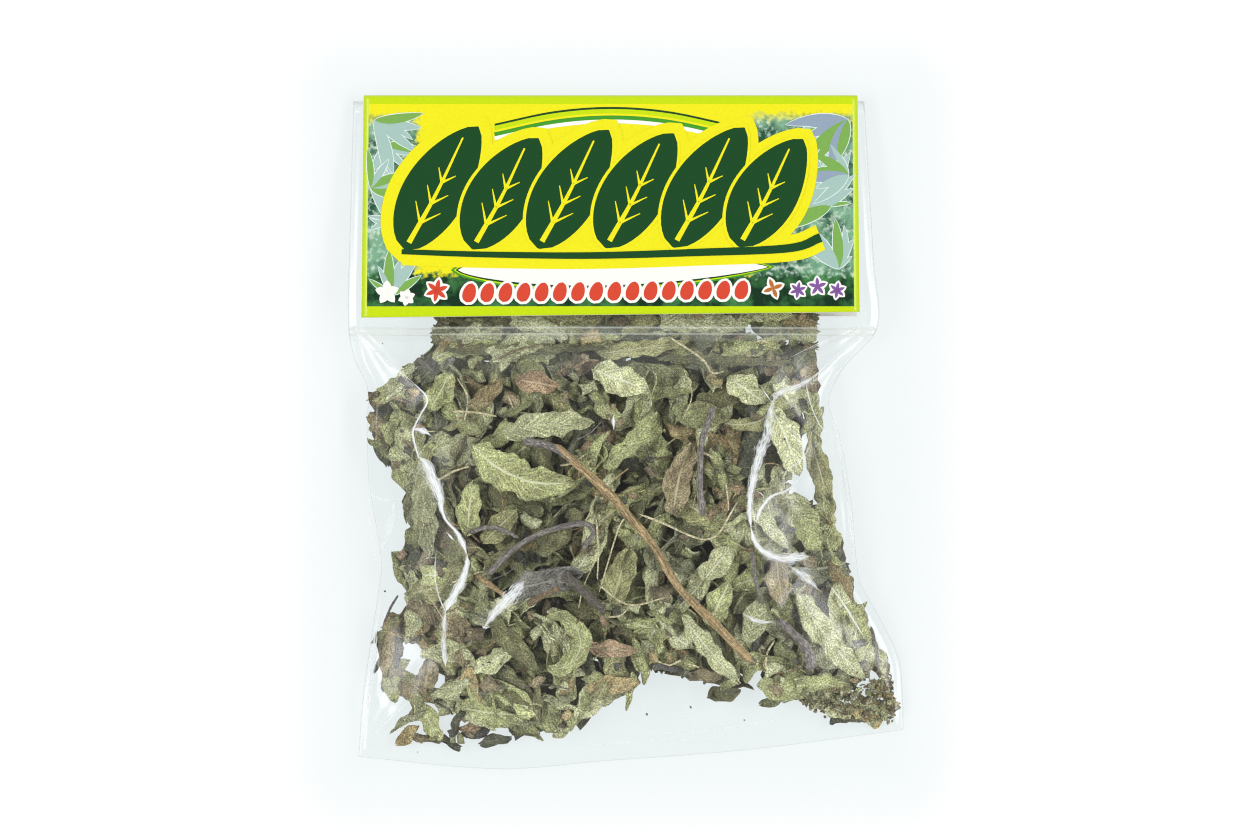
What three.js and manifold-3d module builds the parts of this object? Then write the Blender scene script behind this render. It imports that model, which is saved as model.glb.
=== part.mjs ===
// A packet of dried sage, lying on its back on a table: a clear press-seal bag of loose leaves and
// stems, with its mouth held shut by a printed card folded over the top.
//
// Millimetres, +Z up. X runs across the bag and +Y runs from its bottom edge to the header card.
// The packet's own box is centred on the Z axis and stands on z = 0.

import * as THREE from "three";
import { mergeVertices } from "three/addons/utils/BufferGeometryUtils.js";
import Module from "manifold-3d";

const wasm = await Module();
wasm.setup();

// ---------------------------------------------------------------- driving dimensions

const GAP = 0.3; // clearance between pieces that touch

const CARD = {
  width: 140,
  middle: -4.2, // its centre line, beside the bag's own
  foldY: 93.3, // where the bend of the fold starts, at the packet's top edge
  foldDeep: 0.75, // how far the bend stands out beyond foldY
  hemY: 31.6, // the lower edge of both flaps
  thick: 0.45,
  bow: 1.2, // how far the front flap's sides fall below its middle
  skew: 0.8, // how far the front flap's lower edge runs out of square, each way
  frontAbove: 2.5, // every point of the card above this height belongs to its front flap
};

const BAG = {
  film: 0.6, // wall of the bag; the real film is thinner
  seam: 1.0, // thickness of the welded side and bottom seams
  weld: 2.4, // and their width
  mouthY: 92.6,
  bottomY: -95,
  flatToY: -84, // the back panel lies flat down to here
  flatToSide: 0.78, // and this far out towards the side seams
  squareDownToY: -30, // below here the bag runs out of square, down to its slanting bottom edge
  backLift: CARD.thick + GAP, // the back panel lies on the card's back flap
};

// Stations up the bag, each [y, value]: its side edges, the height of its front panel and of its seams.
const LEFT_EDGE = [
  [-95, -75.9], [-80, -74.8], [-63.4, -72.6], [-46.4, -70], [-37.9, -69.2], [-15.3, -72.6],
  [-1.1, -73.2], [11.6, -73.2], [18.7, -76.6], [28.6, -78.6], [52.6, -78.3], [93.5, -77.2],
];
const RIGHT_EDGE = [
  [-95, 79], [-85.2, 78.8], [-70.5, 77.4], [-53.5, 70.3], [-45, 66.4], [-22.1, 64.1],
  [-2.5, 60.7], [7.4, 57.6], [16.7, 61.8], [28, 71.4], [45.6, 70.6], [93.5, 67.8],
];
const CROWN = [
  [-95, 1.6], [-84, 8.6], [-72, 15.6], [-55, 21.6], [-35, 24], [-12, 23.6],
  [5, 20.8], [18, 16.6], [31, 11.8], [52, 8.4], [75, 5.2], [93.5, 2.9],
];
const SEAM_HEIGHT = [[-95, 1.1], [-70, 2.6], [-30, 4.6], [10, 4.6], [31, 2.8], [93.5, 1.8]];

// Stations across the bag, each [x, y]: its bottom edge.
const BOTTOM_EDGE = [[-76, -93.7], [-36, -97.2], [-7, -95], [35, -91.7], [79, -86]];

// The closure: two ribs across the front panel, just below the card.
const RIB = { y: [28, 26.2], wide: 0.7, high: 0.5, sunk: 0.3 };

// Heights in the filling are parts of FULL, so that they shrink with the bag towards its seams.
const FULL = 23;
const CLEAR = { back: 0.25, front: 0.45 }; // mm between the filling and the two panels
const LAYER = {
  bed: [0.4, 11],
  low: [11.3, 15.6],
  high: [15.9, 20.2],
  loose: [11.3, 20.2],
  edge: [1, 22],
};
const STEMS_UP_TO = 22.8;
const LEAF_THICK = 0.7;

const COLOUR = {
  card: 0xf4ec2c,
  film: 0xe8eeee,
  pale: 0xa3a780,
  green: 0x87895f,
  olive: 0x6f6d4b,
  dark: 0x55563f,
  brown: 0x74614a,
  rust: 0x8a6347,
  tan: 0x9c7b54,
  grey: 0x6c6464,
};

// ---------------------------------------------------------------- the leaves and stems

// A dried blade. Its midrib runs long mm through the point at, yaw degrees from +X in its middle
// and turning bend degrees on the way, and its ends stand arch mm above its middle. Across the
// midrib it curls through roll degrees, leans by bank and twists by twist. Its edges ripple by wave.
const LEAF = { bend: 0, arch: 1.2, roll: 70, bank: 0, twist: 25, wave: 0.5, layer: "high" };

const leaves = {
  arched: { at: [-30, -14], yaw: -20, long: 31, wide: 11, bend: 65, tone: "pale" },
  bright: { at: [-21.5, 1], yaw: 8, long: 25, wide: 7.6, bend: -25, tone: "pale" },
  wide: { at: [-46.5, -6.5], yaw: -8, long: 20, wide: 10, layer: "low", tone: "pale" },
  upright: { at: [-56.5, -23], yaw: -86, long: 27, wide: 7.6, bend: 12, tone: "pale" },
  lobed: { at: [-43.5, -22.5], yaw: 84, long: 15, wide: 7, tone: "green" },
  slanting: { at: [-35, -27.5], yaw: 45, long: 13, wide: 6.6, tone: "olive" },
  boat: { at: [15, -14], yaw: 76, long: 20, wide: 9, roll: 120, bend: -20, tone: "brown" },
  forked: { at: [2, -4], yaw: 47, long: 21, wide: 5.4, bend: 20, tone: "green" },
  lying_right: { at: [55.4, -15.3], yaw: -72, long: 20, wide: 5.2, arch: 0.6, layer: "edge", tone: "dark" },
  veined: { at: [45.5, -4], yaw: -68, long: 20, wide: 8.6, bend: -14, tone: "pale" },
  ashy: { at: [-1.6, 13.4], yaw: -20, long: 16, wide: 9, tone: "pale" },
  tucked: { at: [12, 11], yaw: 8, long: 17, wide: 6.4, layer: "low", tone: "green" },
  draped: { at: [21, 3.5], yaw: -6, long: 16, wide: 8, roll: 95, tone: "green" },
  under_ribs: { at: [5, 22.3], yaw: 6, long: 19, wide: 4.6, tone: "olive" },
  rounded: { at: [34, 10.5], yaw: -35, long: 12, wide: 8, tone: "pale" },
  ring: { at: [-12.5, -60], yaw: 90, long: 27, wide: 6, bend: 205, twist: 0, tone: "green" },
  lance: { at: [-44.3, -80.3], yaw: -32, long: 18, wide: 5.8, arch: 0.6, layer: "edge", tone: "pale" },
  long_pale: { at: [57, -59.5], yaw: -52, long: 31, wide: 8, bend: 14, layer: "loose", tone: "pale" },
  slash: { at: [23.6, -62.5], yaw: -50, long: 25, wide: 5.6, bend: 10, tone: "pale" },
  oval: { at: [25.5, -38], yaw: 50, long: 12, wide: 7.2, tone: "pale" },
  oval_below: { at: [26, -49], yaw: 64, long: 13, wide: 7.2, tone: "green" },
  stub: { at: [34.5, -43], yaw: 20, long: 10, wide: 7, layer: "low", tone: "green" },
  pale_flap: { at: [36, -54], yaw: 76, long: 13, wide: 7, tone: "pale" },
  edge_right: { at: [61, -45], yaw: -68, long: 25, wide: 5.6, arch: 0.5, layer: "edge", tone: "green" },
  edge_left: { at: [-61, -43], yaw: -57, long: 18, wide: 6, arch: 0.5, layer: "edge", tone: "green" },
  tan_left: { at: [-62, -56], yaw: 5, long: 14, wide: 8, arch: 0.5, layer: "edge", tone: "tan" },
  corner_curl: { at: [-66, -71], yaw: 72, long: 14, wide: 5, bend: -100, layer: "edge", tone: "green" },
  disc: { at: [-56, -70.5], yaw: 80, long: 10, wide: 7, arch: 0.5, layer: "edge", tone: "brown" },
  foot_left: { at: [-55.6, -83.5], yaw: -60, long: 13, wide: 5.6, arch: 0.4, layer: "edge", tone: "green" },
  foot_middle: { at: [-26.7, -81], yaw: 0, long: 14, wide: 6, arch: 0.4, layer: "edge", tone: "pale" },
  slope: { at: [-31.6, -60.5], yaw: -45, long: 20, wide: 6.4, roll: 100, tone: "olive" },
  ashen: { at: [-22, -43], yaw: 15, long: 21, wide: 8.4, tone: "grey" },
  olive: { at: [-20, -31], yaw: 35, long: 12, wide: 7.6, tone: "olive" },
  amber: { at: [-1.3, -41], yaw: 72, long: 16, wide: 8.4, tone: "olive" },
  chip: { at: [9.5, -37], yaw: -30, long: 10, wide: 6, tone: "pale" },
  rust: { at: [-24.5, 12.4], yaw: -10, long: 12, wide: 6.4, tone: "rust" },
  hooked: { at: [-38.5, 9], yaw: 40, long: 12, wide: 5, bend: 50, tone: "tan" },
  yellowed: { at: [-52, 10], yaw: 62, long: 12, wide: 7.6, tone: "green" },
  far_left: { at: [-66.6, 1.5], yaw: -84, long: 13, wide: 6.4, arch: 0.5, layer: "edge", tone: "green" },
  swirled: { at: [51, -28], yaw: -60, long: 15, wide: 8.6, bend: -40, tone: "green" },
  narrow: { at: [40.5, -28], yaw: -48, long: 15, wide: 4.4, tone: "pale" },
  umber: { at: [43, -43], yaw: -82, long: 13, wide: 7.4, tone: "brown" },
};

// A stem lies over the leaves along via, each point [x, y], and thins from thick to tip at its end.
const stems = {
  long: {
    via: [[-20, -4.5], [-5.8, -17], [1.3, -25.2], [8.1, -33.1], [15.1, -44.7], [24.8, -54.6], [35.5, -65.7]],
    thick: 2.6,
    tip: 2.2,
    tone: "tan",
  },
  mauve_upper: {
    via: [[24.6, 6], [21.4, -3.7], [20.6, -13.6], [21.4, -24.6]],
    thick: 1.5,
    tip: 1.7,
    tone: "grey",
  },
  mauve_lower: {
    via: [[42.6, -54], [47.4, -58], [51, -62.6], [52.6, -68]],
    thick: 1.9,
    tip: 3,
    tone: "grey",
  },
  dark: { via: [[-17.4, -40.5], [-12, -45], [-5.5, -51.5]], thick: 2.6, tip: 2, tone: "dark" },
  bowed: {
    via: [[-38.3, -41], [-31.5, -34.2], [-23.6, -29.4], [-12.3, -26.6], [-9, -29], [-11.7, -33.7]],
    thick: 1.6,
    tip: 1.3,
    tone: "grey",
  },
  pale_stick: { via: [[-41.6, -41.2], [-37.5, -44], [-33, -47.2]], thick: 1.5, tip: 1.2, tone: "tan" },
  paired: { via: [[-27.2, -49], [-22.6, -46.6], [-18, -44.4]], thick: 1.8, tip: 1.4, tone: "brown" },
};

// Under them lies the bed: in each cell one heap of leaves on a core, given by its middle [x, y].
// The core's half-widths are core parts of the cell, and each blade lies in a layer deep parts thick.
const HEAP = { cell: [36.2, 34.4], blades: 7, core: 0.27, deep: 5.5 };
const heaps = {
  upper_left: [-40, 11],
  upper_middle: [-3, 11],
  upper_right: [33, 11],
  left: [-40, -24],
  middle: [-3, -24],
  right: [34, -24],
  lower_left: [-37, -59],
  lower_middle: [0, -59],
  lower_right: [37, -59],
};

// ---------------------------------------------------------------- small helpers

const mix = (a, b, t) => a + (b - a) * t;
const clamp = (t, low, high) => Math.min(Math.max(t, low), high);
const radians = (degrees) => (degrees * Math.PI) / 180;

function ease(t) {
  const c = clamp(t, 0, 1);
  return c * c * (3 - 2 * c);
}

// A smooth curve through stations, each [place, value], in the order of their places.
function through(stations, place) {
  const last = stations.length - 1;
  let i = 0;
  while (i < last - 1 && place > stations[i + 1][0]) i += 1;
  const slope = (k) => {
    const [before, after] = [stations[Math.max(k - 1, 0)], stations[Math.min(k + 1, last)]];
    return (after[1] - before[1]) / (after[0] - before[0]);
  };
  const [[from, a], [to, d]] = [stations[i], stations[i + 1]];
  const t = clamp((place - from) / (to - from), 0, 1);
  const b = a + (slope(i) * (to - from)) / 3;
  const c = d - (slope(i + 1) * (to - from)) / 3;
  return a * (1 - t) ** 3 + 3 * b * t * (1 - t) ** 2 + 3 * c * t ** 2 * (1 - t) + d * t ** 3;
}

// The same numbers on every machine.
function seeded(seed) {
  let state = seed;
  return (low = 0, high = 1) => {
    state = (Math.imul(state, 1664525) + 1013904223) >>> 0;
    return mix(low, high, state / 4294967296);
  };
}

// Keeps t between low and high, and bends it over near them instead of cutting it off.
function bendInside(t, low, high, margin) {
  if (t > high - margin) return high - margin * Math.exp(-(t - high + margin) / margin);
  if (t < low + margin) return low + margin * Math.exp((t - low - margin) / margin);
  return t;
}

// ---------------------------------------------------------------- the bag's shape

// Below squareDownToY the bag is stretched down to its slanting bottom edge. The stations read
// a squared y, and these two go to it and back.
function stretchAt(x) {
  const from = BAG.squareDownToY;
  return (through(BOTTOM_EDGE, x) - from) / (BAG.bottomY - from);
}
function squared(x, y) {
  const from = BAG.squareDownToY;
  return y > from ? y : from + (y - from) / stretchAt(x);
}
function slanted(x, y) {
  const from = BAG.squareDownToY;
  return y > from ? y : from + (y - from) * stretchAt(x);
}

// Where x lies between the side seams: -1 at the left one and 1 at the right one.
function across(x, s) {
  const [left, right] = [through(LEFT_EDGE, s), through(RIGHT_EDGE, s)];
  return clamp((2 * (x - left)) / (right - left) - 1, -1, 1);
}

// The outside of the front panel and of the back panel, at u across and at the squared y.
function frontHeight(u, s) {
  const seam = through(SEAM_HEIGHT, s) + BAG.seam / 2;
  const fullness = Math.max(1 - Math.abs(u) ** 2.6, 0) ** 1.05;
  return mix(seam, through(CROWN, s), fullness);
}
function backHeight(u, s) {
  const flat = BAG.backLift * ease((s - CARD.hemY + 6) / 6);
  const seam = Math.max(through(SEAM_HEIGHT, s) - BAG.seam / 2, flat);
  const toSide = ease((Math.abs(u) - BAG.flatToSide) / (1 - BAG.flatToSide));
  const toBottom = ease((BAG.flatToY - s) / (BAG.flatToY - BAG.bottomY));
  return mix(flat, seam, Math.max(toSide, toBottom));
}

// A point of the filling: height 0 lies on the back panel and FULL lies under the front one.
function inBag(x, y, height) {
  const s = squared(x, y);
  const u = across(x, s);
  const low = backHeight(u, s) + BAG.film + CLEAR.back;
  const high = frontHeight(u, s) - BAG.film - CLEAR.front;
  return mix(low, high, height / FULL);
}

// ---------------------------------------------------------------- solids

// The closed solid between two sheets of points on one grid, both split into triangles alike.
function betweenSheets(upper, lower) {
  const [rows, columns] = [upper.length - 1, upper[0].length - 1];
  const points = [...upper.flat(), ...lower.flat()];
  const triangles = [];
  const quad = (a, b, c, d) => triangles.push(a, b, c, a, c, d);
  const top = (i, j) => i * (columns + 1) + j;
  const under = (i, j) => top(i, j) + (rows + 1) * (columns + 1);
  for (let i = 0; i < rows; i += 1) {
    for (let j = 0; j < columns; j += 1) {
      quad(top(i, j), top(i + 1, j), top(i + 1, j + 1), top(i, j + 1));
      quad(under(i, j), under(i, j + 1), under(i + 1, j + 1), under(i + 1, j));
    }
    quad(top(i + 1, 0), top(i, 0), under(i, 0), under(i + 1, 0));
    quad(top(i, columns), top(i + 1, columns), under(i + 1, columns), under(i, columns));
  }
  for (let j = 0; j < columns; j += 1) {
    quad(top(0, j), top(0, j + 1), under(0, j + 1), under(0, j));
    quad(top(rows, j + 1), top(rows, j), under(rows, j), under(rows, j + 1));
  }
  return new THREE.BufferGeometry().setFromPoints(points).setIndex(triangles);
}

function toSolid(geometry) {
  const bare = geometry.clone();
  bare.deleteAttribute("normal");
  bare.deleteAttribute("uv");
  const merged = mergeVertices(bare, 1e-4);
  return new wasm.Manifold(
    new wasm.Mesh({
      numProp: 3,
      vertProperties: new Float32Array(merged.attributes.position.array),
      triVerts: new Uint32Array(merged.index.array),
    }),
  );
}

function toGeometry(solid) {
  const { vertProperties, triVerts } = solid.getMesh();
  const geometry = new THREE.BufferGeometry();
  geometry.setAttribute("position", new THREE.BufferAttribute(vertProperties, 3));
  geometry.setIndex(new THREE.BufferAttribute(triVerts, 1));
  return geometry;
}

// Joins solids and keeps the largest body, so that no loose scrap is left.
function fuse(solids) {
  const bodies = wasm.Manifold.union(solids).decompose();
  return bodies.sort((a, b) => b.volume() - a.volume())[0];
}

function piece(name, geometry, colour, look = {}) {
  const material = new THREE.MeshStandardMaterial({ color: colour, roughness: 0.9, metalness: 0, ...look });
  const mesh = new THREE.Mesh(geometry, material);
  mesh.name = name;
  return mesh;
}

// ---------------------------------------------------------------- the bag

const BAG_ROWS = [92.6, 76, 60, 45, 33, 28.2, 26, 19, 11, 3, -8, -22, -36, -50, -62, -72, -80, -87.5];
const BAG_COLUMNS = 14;
const THINNEST_HOLLOW = 0.06; // half its height, where the panels meet in the welds

// A closed pillow that follows the panels at depth below their outside, from y top to y bottom.
function pillow(top, bottom, inset, depth) {
  const rows = [top, ...BAG_ROWS.slice(1), bottom];
  const sheet = (height) =>
    rows.map((s) =>
      Array.from({ length: BAG_COLUMNS + 1 }, (_, j) => {
        const spread = Math.sin((Math.PI / 2) * ((2 * j) / BAG_COLUMNS - 1));
        const [left, right] = [through(LEFT_EDGE, s) + inset, through(RIGHT_EDGE, s) - inset];
        const x = mix(left, right, (spread + 1) / 2);
        return new THREE.Vector3(x, slanted(x, s), height(across(x, s), s));
      }),
    );
  const halfRoom = (u, s) => {
    return Math.max((frontHeight(u, s) - backHeight(u, s)) / 2 - depth, THINNEST_HOLLOW);
  };
  const centre = (u, s) => (frontHeight(u, s) + backHeight(u, s)) / 2;
  const upper = sheet((u, s) => centre(u, s) + halfRoom(u, s));
  const lower = sheet((u, s) => centre(u, s) - halfRoom(u, s));
  return toSolid(betweenSheets(upper, lower));
}

function closureRib(y) {
  const steps = 24;
  const line = (dy, dz) =>
    Array.from({ length: steps + 1 }, (_, i) => {
      const u = mix(-0.985, 0.985, i / steps);
      const x = mix(through(LEFT_EDGE, y), through(RIGHT_EDGE, y), (u + 1) / 2);
      return new THREE.Vector3(x, y + dy, frontHeight(u, y) + dz);
    });
  const half = RIB.wide / 2;
  const upper = [line(half, RIB.high), line(-half, RIB.high)];
  const lower = [line(half, -RIB.sunk), line(-half, -RIB.sunk)];
  return toSolid(betweenSheets(upper, lower));
}

function bag() {
  const outside = pillow(BAG.mouthY, BAG.bottomY, 0, 0);
  const hollow = pillow(BAG.mouthY + 0.5, BAG.bottomY + BAG.weld, BAG.weld, BAG.film);
  return toGeometry(fuse([outside.subtract(hollow), ...RIB.y.map(closureRib)]));
}

// ---------------------------------------------------------------- the header card

const FLAP_STATIONS = [84, 74, 62, 50, 40, CARD.hemY];

// One face of the card in section, [y, z], from the back flap round the fold to the front flap.
function cardFace(offset) {
  const back = CARD.thick / 2 - offset;
  const front = (y) => through(CROWN, y) + GAP + CARD.thick / 2 + offset;
  const middle = (back + front(CARD.foldY)) / 2;
  const radius = (front(CARD.foldY) - back) / 2;
  const deep = CARD.foldDeep + offset;
  const turns = 6;
  const fold = Array.from({ length: turns + 1 }, (_, i) => {
    const angle = mix(-Math.PI / 2, Math.PI / 2, i / turns);
    return new THREE.Vector2(CARD.foldY + deep * Math.cos(angle), middle + radius * Math.sin(angle));
  });
  const flap = FLAP_STATIONS.map((y) => new THREE.Vector2(y, front(y)));
  return [new THREE.Vector2(CARD.hemY, back), ...fold, ...flap];
}

function headerCard() {
  const outline = [...cardFace(CARD.thick / 2), ...cardFace(-CARD.thick / 2).reverse()];
  const geometry = new THREE.ExtrudeGeometry(new THREE.Shape(outline), {
    depth: CARD.width,
    steps: 6,
    bevelEnabled: false,
  });
  // The section's [y, z] and the extrusion's depth become y, z and x.
  geometry.applyMatrix4(new THREE.Matrix4().set(0, 0, 1, 0, 1, 0, 0, 0, 0, 1, 0, 0, 0, 0, 0, 1));
  geometry.translate(CARD.middle - CARD.width / 2, 0, 0);
  const places = geometry.attributes.position;
  for (let i = 0; i < places.count; i += 1) {
    const side = (places.getX(i) - CARD.middle) / (CARD.width / 2);
    const onFront = places.getZ(i) > CARD.frontAbove ? 1 : 0;
    const loose = onFront * ease((CARD.foldY - places.getY(i)) / (CARD.foldY - CARD.hemY));
    places.setZ(i, places.getZ(i) - CARD.bow * side ** 2 * loose);
    places.setY(i, places.getY(i) + CARD.skew * side * loose);
  }
  return toGeometry(toSolid(geometry));
}

// ---------------------------------------------------------------- leaves

// The outline of a sage leaf: broad below its middle and blunt at both ends.
function halfWidth(leaf, t) {
  return Math.max((leaf.wide / 2) * Math.max(Math.sin(Math.PI * t ** 0.85), 0) ** 0.5, 0.45);
}

// A point of the blade's middle surface before it is laid in the bag. t runs from 0 to 1 along
// the midrib and w from -1 to 1 across it.
function bladePoint(leaf, t, w) {
  const along = t - 0.5;
  const bend = radians(leaf.bend) || 1e-6;
  const heading = radians(leaf.yaw) + bend * along;
  const chord = (leaf.long * 2 * Math.sin((bend * along) / 2)) / bend;
  const chordYaw = radians(leaf.yaw) + (bend * along) / 2;
  const curl = radians(leaf.roll) / 2;
  const radius = halfWidth(leaf, t) / curl;
  const side = radius * Math.sin(curl * w);
  const lift = radius * (1 - Math.cos(curl * w));
  const lean = radians(leaf.bank + leaf.twist * along);
  const out = side * Math.cos(lean) - lift * Math.sin(lean);
  const ripple = leaf.wave * w ** 2 * Math.sin(4.6 * Math.PI * t + 1.3 * w + leaf.yaw);
  const up = side * Math.sin(lean) + lift * Math.cos(lean) + leaf.arch * 4 * along ** 2 + ripple;
  return new THREE.Vector3(
    leaf.at[0] + chord * Math.cos(chordYaw) - out * Math.sin(heading),
    leaf.at[1] + chord * Math.sin(chordYaw) + out * Math.cos(heading),
    up,
  );
}

// The blade as a closed solid. place() lays a point of its middle surface in the bag.
function bladeSolid(leaf, rows, columns, place) {
  const notch = (i, j) => (j === 0 || j === columns ? 1 - 0.12 * (i % 2) : 1);
  const grid = Array.from({ length: rows + 1 }, (_, i) =>
    Array.from({ length: columns + 1 }, (_, j) =>
      place(bladePoint(leaf, i / rows, ((2 * j) / columns - 1) * notch(i, j))),
    ),
  );
  const normal = (i, j) => {
    const lengthwise = grid[Math.min(i + 1, rows)][j].clone().sub(grid[Math.max(i - 1, 0)][j]);
    const crosswise = grid[i][Math.min(j + 1, columns)].clone().sub(grid[i][Math.max(j - 1, 0)]);
    return lengthwise.cross(crosswise).normalize();
  };
  const sheet = (offset) =>
    grid.map((row, i) => row.map((p, j) => p.clone().addScaledVector(normal(i, j), offset)));
  return toSolid(betweenSheets(sheet(LEAF_THICK / 2), sheet(-LEAF_THICK / 2)));
}

function heightRange(leaf) {
  const heights = [];
  for (let i = 0; i <= 12; i += 1) {
    for (let j = -3; j <= 3; j += 1) heights.push(bladePoint(leaf, i / 12, j / 3).z);
  }
  return [Math.min(...heights), Math.max(...heights)];
}

// Lays a blade in its layer of the filling, pressed flatter where it would stand out of the layer.
function inLayer(leaf, [floor, ceiling]) {
  const [low, high] = heightRange(leaf);
  return (p) => {
    const bottom = inBag(p.x, p.y, floor) + LEAF_THICK / 2 + 0.1;
    const top = inBag(p.x, p.y, ceiling) - LEAF_THICK / 2 - 0.1;
    const room = Math.max(top - bottom, 0);
    const spare = Math.max(room - (high - low), 0);
    const above = (p.z - low) * Math.min(1, room / (high - low));
    return new THREE.Vector3(p.x, p.y, bottom + spare / 2 + above);
  };
}

function looseLeaf([name, listed]) {
  const leaf = { ...LEAF, ...listed };
  const columns = leaf.wide > 8 ? 4 : 2;
  const solid = bladeSolid(leaf, 7, columns, inLayer(leaf, LAYER[leaf.layer]));
  return piece(`leaf_${name}`, toGeometry(solid), COLOUR[leaf.tone]);
}

// ---------------------------------------------------------------- stems

// A thin tapering stick through its via points, with a blunt end.
function stem([name, { via, thick, tip, tone }]) {
  const points = via.map(([x, y], i) => {
    const radius = mix(thick, tip, i / (via.length - 1)) / 2;
    return new THREE.Vector3(x, y, inBag(x, y, STEMS_UP_TO) - radius);
  });
  const path = new THREE.CatmullRomCurve3(points);
  const steps = Math.max(6, Math.round(path.getLength() / 6));
  const circle = new THREE.Shape().absarc(0, 0, thick / 2, 0, Math.PI * 2);
  const geometry = new THREE.ExtrudeGeometry(circle, {
    steps,
    extrudePath: path,
    curveSegments: 3,
  });
  const places = geometry.attributes.position;
  const spine = Array.from({ length: steps + 1 }, (_, i) => path.getPointAt(i / steps));
  for (let i = 0; i < places.count; i += 1) {
    const p = new THREE.Vector3().fromBufferAttribute(places, i);
    const gaps = spine.map((q) => q.distanceTo(p));
    const nearest = gaps.indexOf(Math.min(...gaps));
    p.sub(spine[nearest]).multiplyScalar(mix(1, tip / thick, nearest / steps)).add(spine[nearest]);
    places.setXYZ(i, p.x, p.y, p.z);
  }
  return piece(`stem_${name}`, toGeometry(toSolid(geometry)), COLOUR[tone]);
}

// ---------------------------------------------------------------- the bed

function heap([name, at], index) {
  const random = seeded(71 + index * 13);
  const reach = HEAP.cell.map((size) => size / 2 - 0.25);
  const [floor, ceiling] = LAYER.bed;
  const intoCell = (p) => {
    const x = bendInside(p.x, at[0] - reach[0], at[0] + reach[0], 4);
    const y = bendInside(p.y, at[1] - reach[1], at[1] + reach[1], 4);
    return [x, y];
  };
  const core = new THREE.SphereGeometry(1, 9, 5).rotateX(Math.PI / 2);
  const places = core.attributes.position;
  for (let i = 0; i < places.count; i += 1) {
    const x = at[0] + places.getX(i) * HEAP.cell[0] * HEAP.core;
    const y = at[1] + places.getY(i) * HEAP.cell[1] * HEAP.core;
    const height = mix(floor, ceiling, 0.46 + places.getZ(i) * 0.34);
    places.setXYZ(i, x, y, inBag(x, y, height));
  }
  // One blade lies over the core and the others round it, in turn along the ring and out of it.
  const blades = Array.from({ length: HEAP.blades }, (_, i) => {
    const turn = (i / (HEAP.blades - 1)) * 360 + random(-12, 12);
    const far = i ? random(0.33, 0.39) : 0;
    const leaf = {
      ...LEAF,
      at: [
        at[0] + far * HEAP.cell[0] * Math.cos(radians(turn)),
        at[1] + far * HEAP.cell[1] * Math.sin(radians(turn)),
      ],
      yaw: turn + (i % 2 ? 90 : 20) + random(-25, 25),
      long: random(20, 26),
      wide: random(9.5, 13),
      bend: random(-50, 50),
      arch: random(0.5, 2.5),
      roll: random(50, 110),
      bank: random(-25, 25),
    };
    const level = mix(floor, ceiling, 0.12 + 0.5 * random());
    const lay = inLayer(leaf, [level, Math.min(level + HEAP.deep, ceiling)]);
    return bladeSolid(leaf, 5, 2, (p) => {
      const [x, y] = intoCell(p);
      return lay(new THREE.Vector3(x, y, p.z));
    });
  });
  const colour = index % 2 ? COLOUR.olive : COLOUR.dark;
  return piece(`heap_${name}`, toGeometry(fuse([toSolid(core), ...blades])), colour);
}

// ---------------------------------------------------------------- the packet

const packet = new THREE.Group();
packet.add(piece("header_card", headerCard(), COLOUR.card, { roughness: 0.4 }));
packet.add(piece("bag", bag(), COLOUR.film, { roughness: 0.15, transparent: true, opacity: 0.25 }));
Object.entries(heaps).forEach((each, index) => packet.add(heap(each, index)));
Object.entries(leaves).forEach((each) => packet.add(looseLeaf(each)));
Object.entries(stems).forEach((each) => packet.add(stem(each)));

// Centres the packet's box on the Z axis.
const box = new THREE.Box3().setFromObject(packet);
const centre = box.getCenter(new THREE.Vector3());
packet.children.forEach((mesh) => mesh.geometry.translate(-centre.x, -centre.y, -box.min.z));

export default packet;
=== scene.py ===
# %% [markdown]
# # A packet of dried sage
#
# The packet is a clear bag of loose dried leaves and stems. A printed card is folded over its
# mouth. The CAD frame holds its sizes. Here each of its pieces gets the form and finish that the
# eye expects: crisp film with creases, crumpled leaves with veins, woody stems and printed card.

# %% Load the frame
import math

import bmesh
import bpy
import numpy as np
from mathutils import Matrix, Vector


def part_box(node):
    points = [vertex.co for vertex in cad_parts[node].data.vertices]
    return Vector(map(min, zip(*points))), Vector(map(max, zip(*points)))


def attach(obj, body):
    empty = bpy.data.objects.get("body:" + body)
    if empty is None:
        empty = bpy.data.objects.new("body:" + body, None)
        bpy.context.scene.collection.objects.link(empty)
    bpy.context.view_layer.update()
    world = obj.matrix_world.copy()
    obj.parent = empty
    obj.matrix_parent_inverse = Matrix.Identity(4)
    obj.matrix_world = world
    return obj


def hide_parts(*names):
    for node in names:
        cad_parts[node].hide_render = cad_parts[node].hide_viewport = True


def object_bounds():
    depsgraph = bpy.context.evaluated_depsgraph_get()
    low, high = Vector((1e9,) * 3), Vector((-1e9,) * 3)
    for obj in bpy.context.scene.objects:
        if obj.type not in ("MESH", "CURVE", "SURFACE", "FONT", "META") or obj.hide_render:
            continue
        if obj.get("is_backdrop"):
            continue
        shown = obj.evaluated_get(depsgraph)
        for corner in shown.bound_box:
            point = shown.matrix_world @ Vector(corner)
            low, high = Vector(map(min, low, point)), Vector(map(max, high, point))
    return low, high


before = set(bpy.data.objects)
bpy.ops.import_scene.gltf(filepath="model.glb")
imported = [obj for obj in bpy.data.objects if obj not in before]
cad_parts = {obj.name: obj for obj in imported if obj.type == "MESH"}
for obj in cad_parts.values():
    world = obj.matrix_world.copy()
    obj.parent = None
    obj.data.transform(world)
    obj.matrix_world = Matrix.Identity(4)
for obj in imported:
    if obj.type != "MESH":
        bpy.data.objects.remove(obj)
cad_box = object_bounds()
MM = 0.001
print("CAD nodes:", len(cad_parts))

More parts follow.
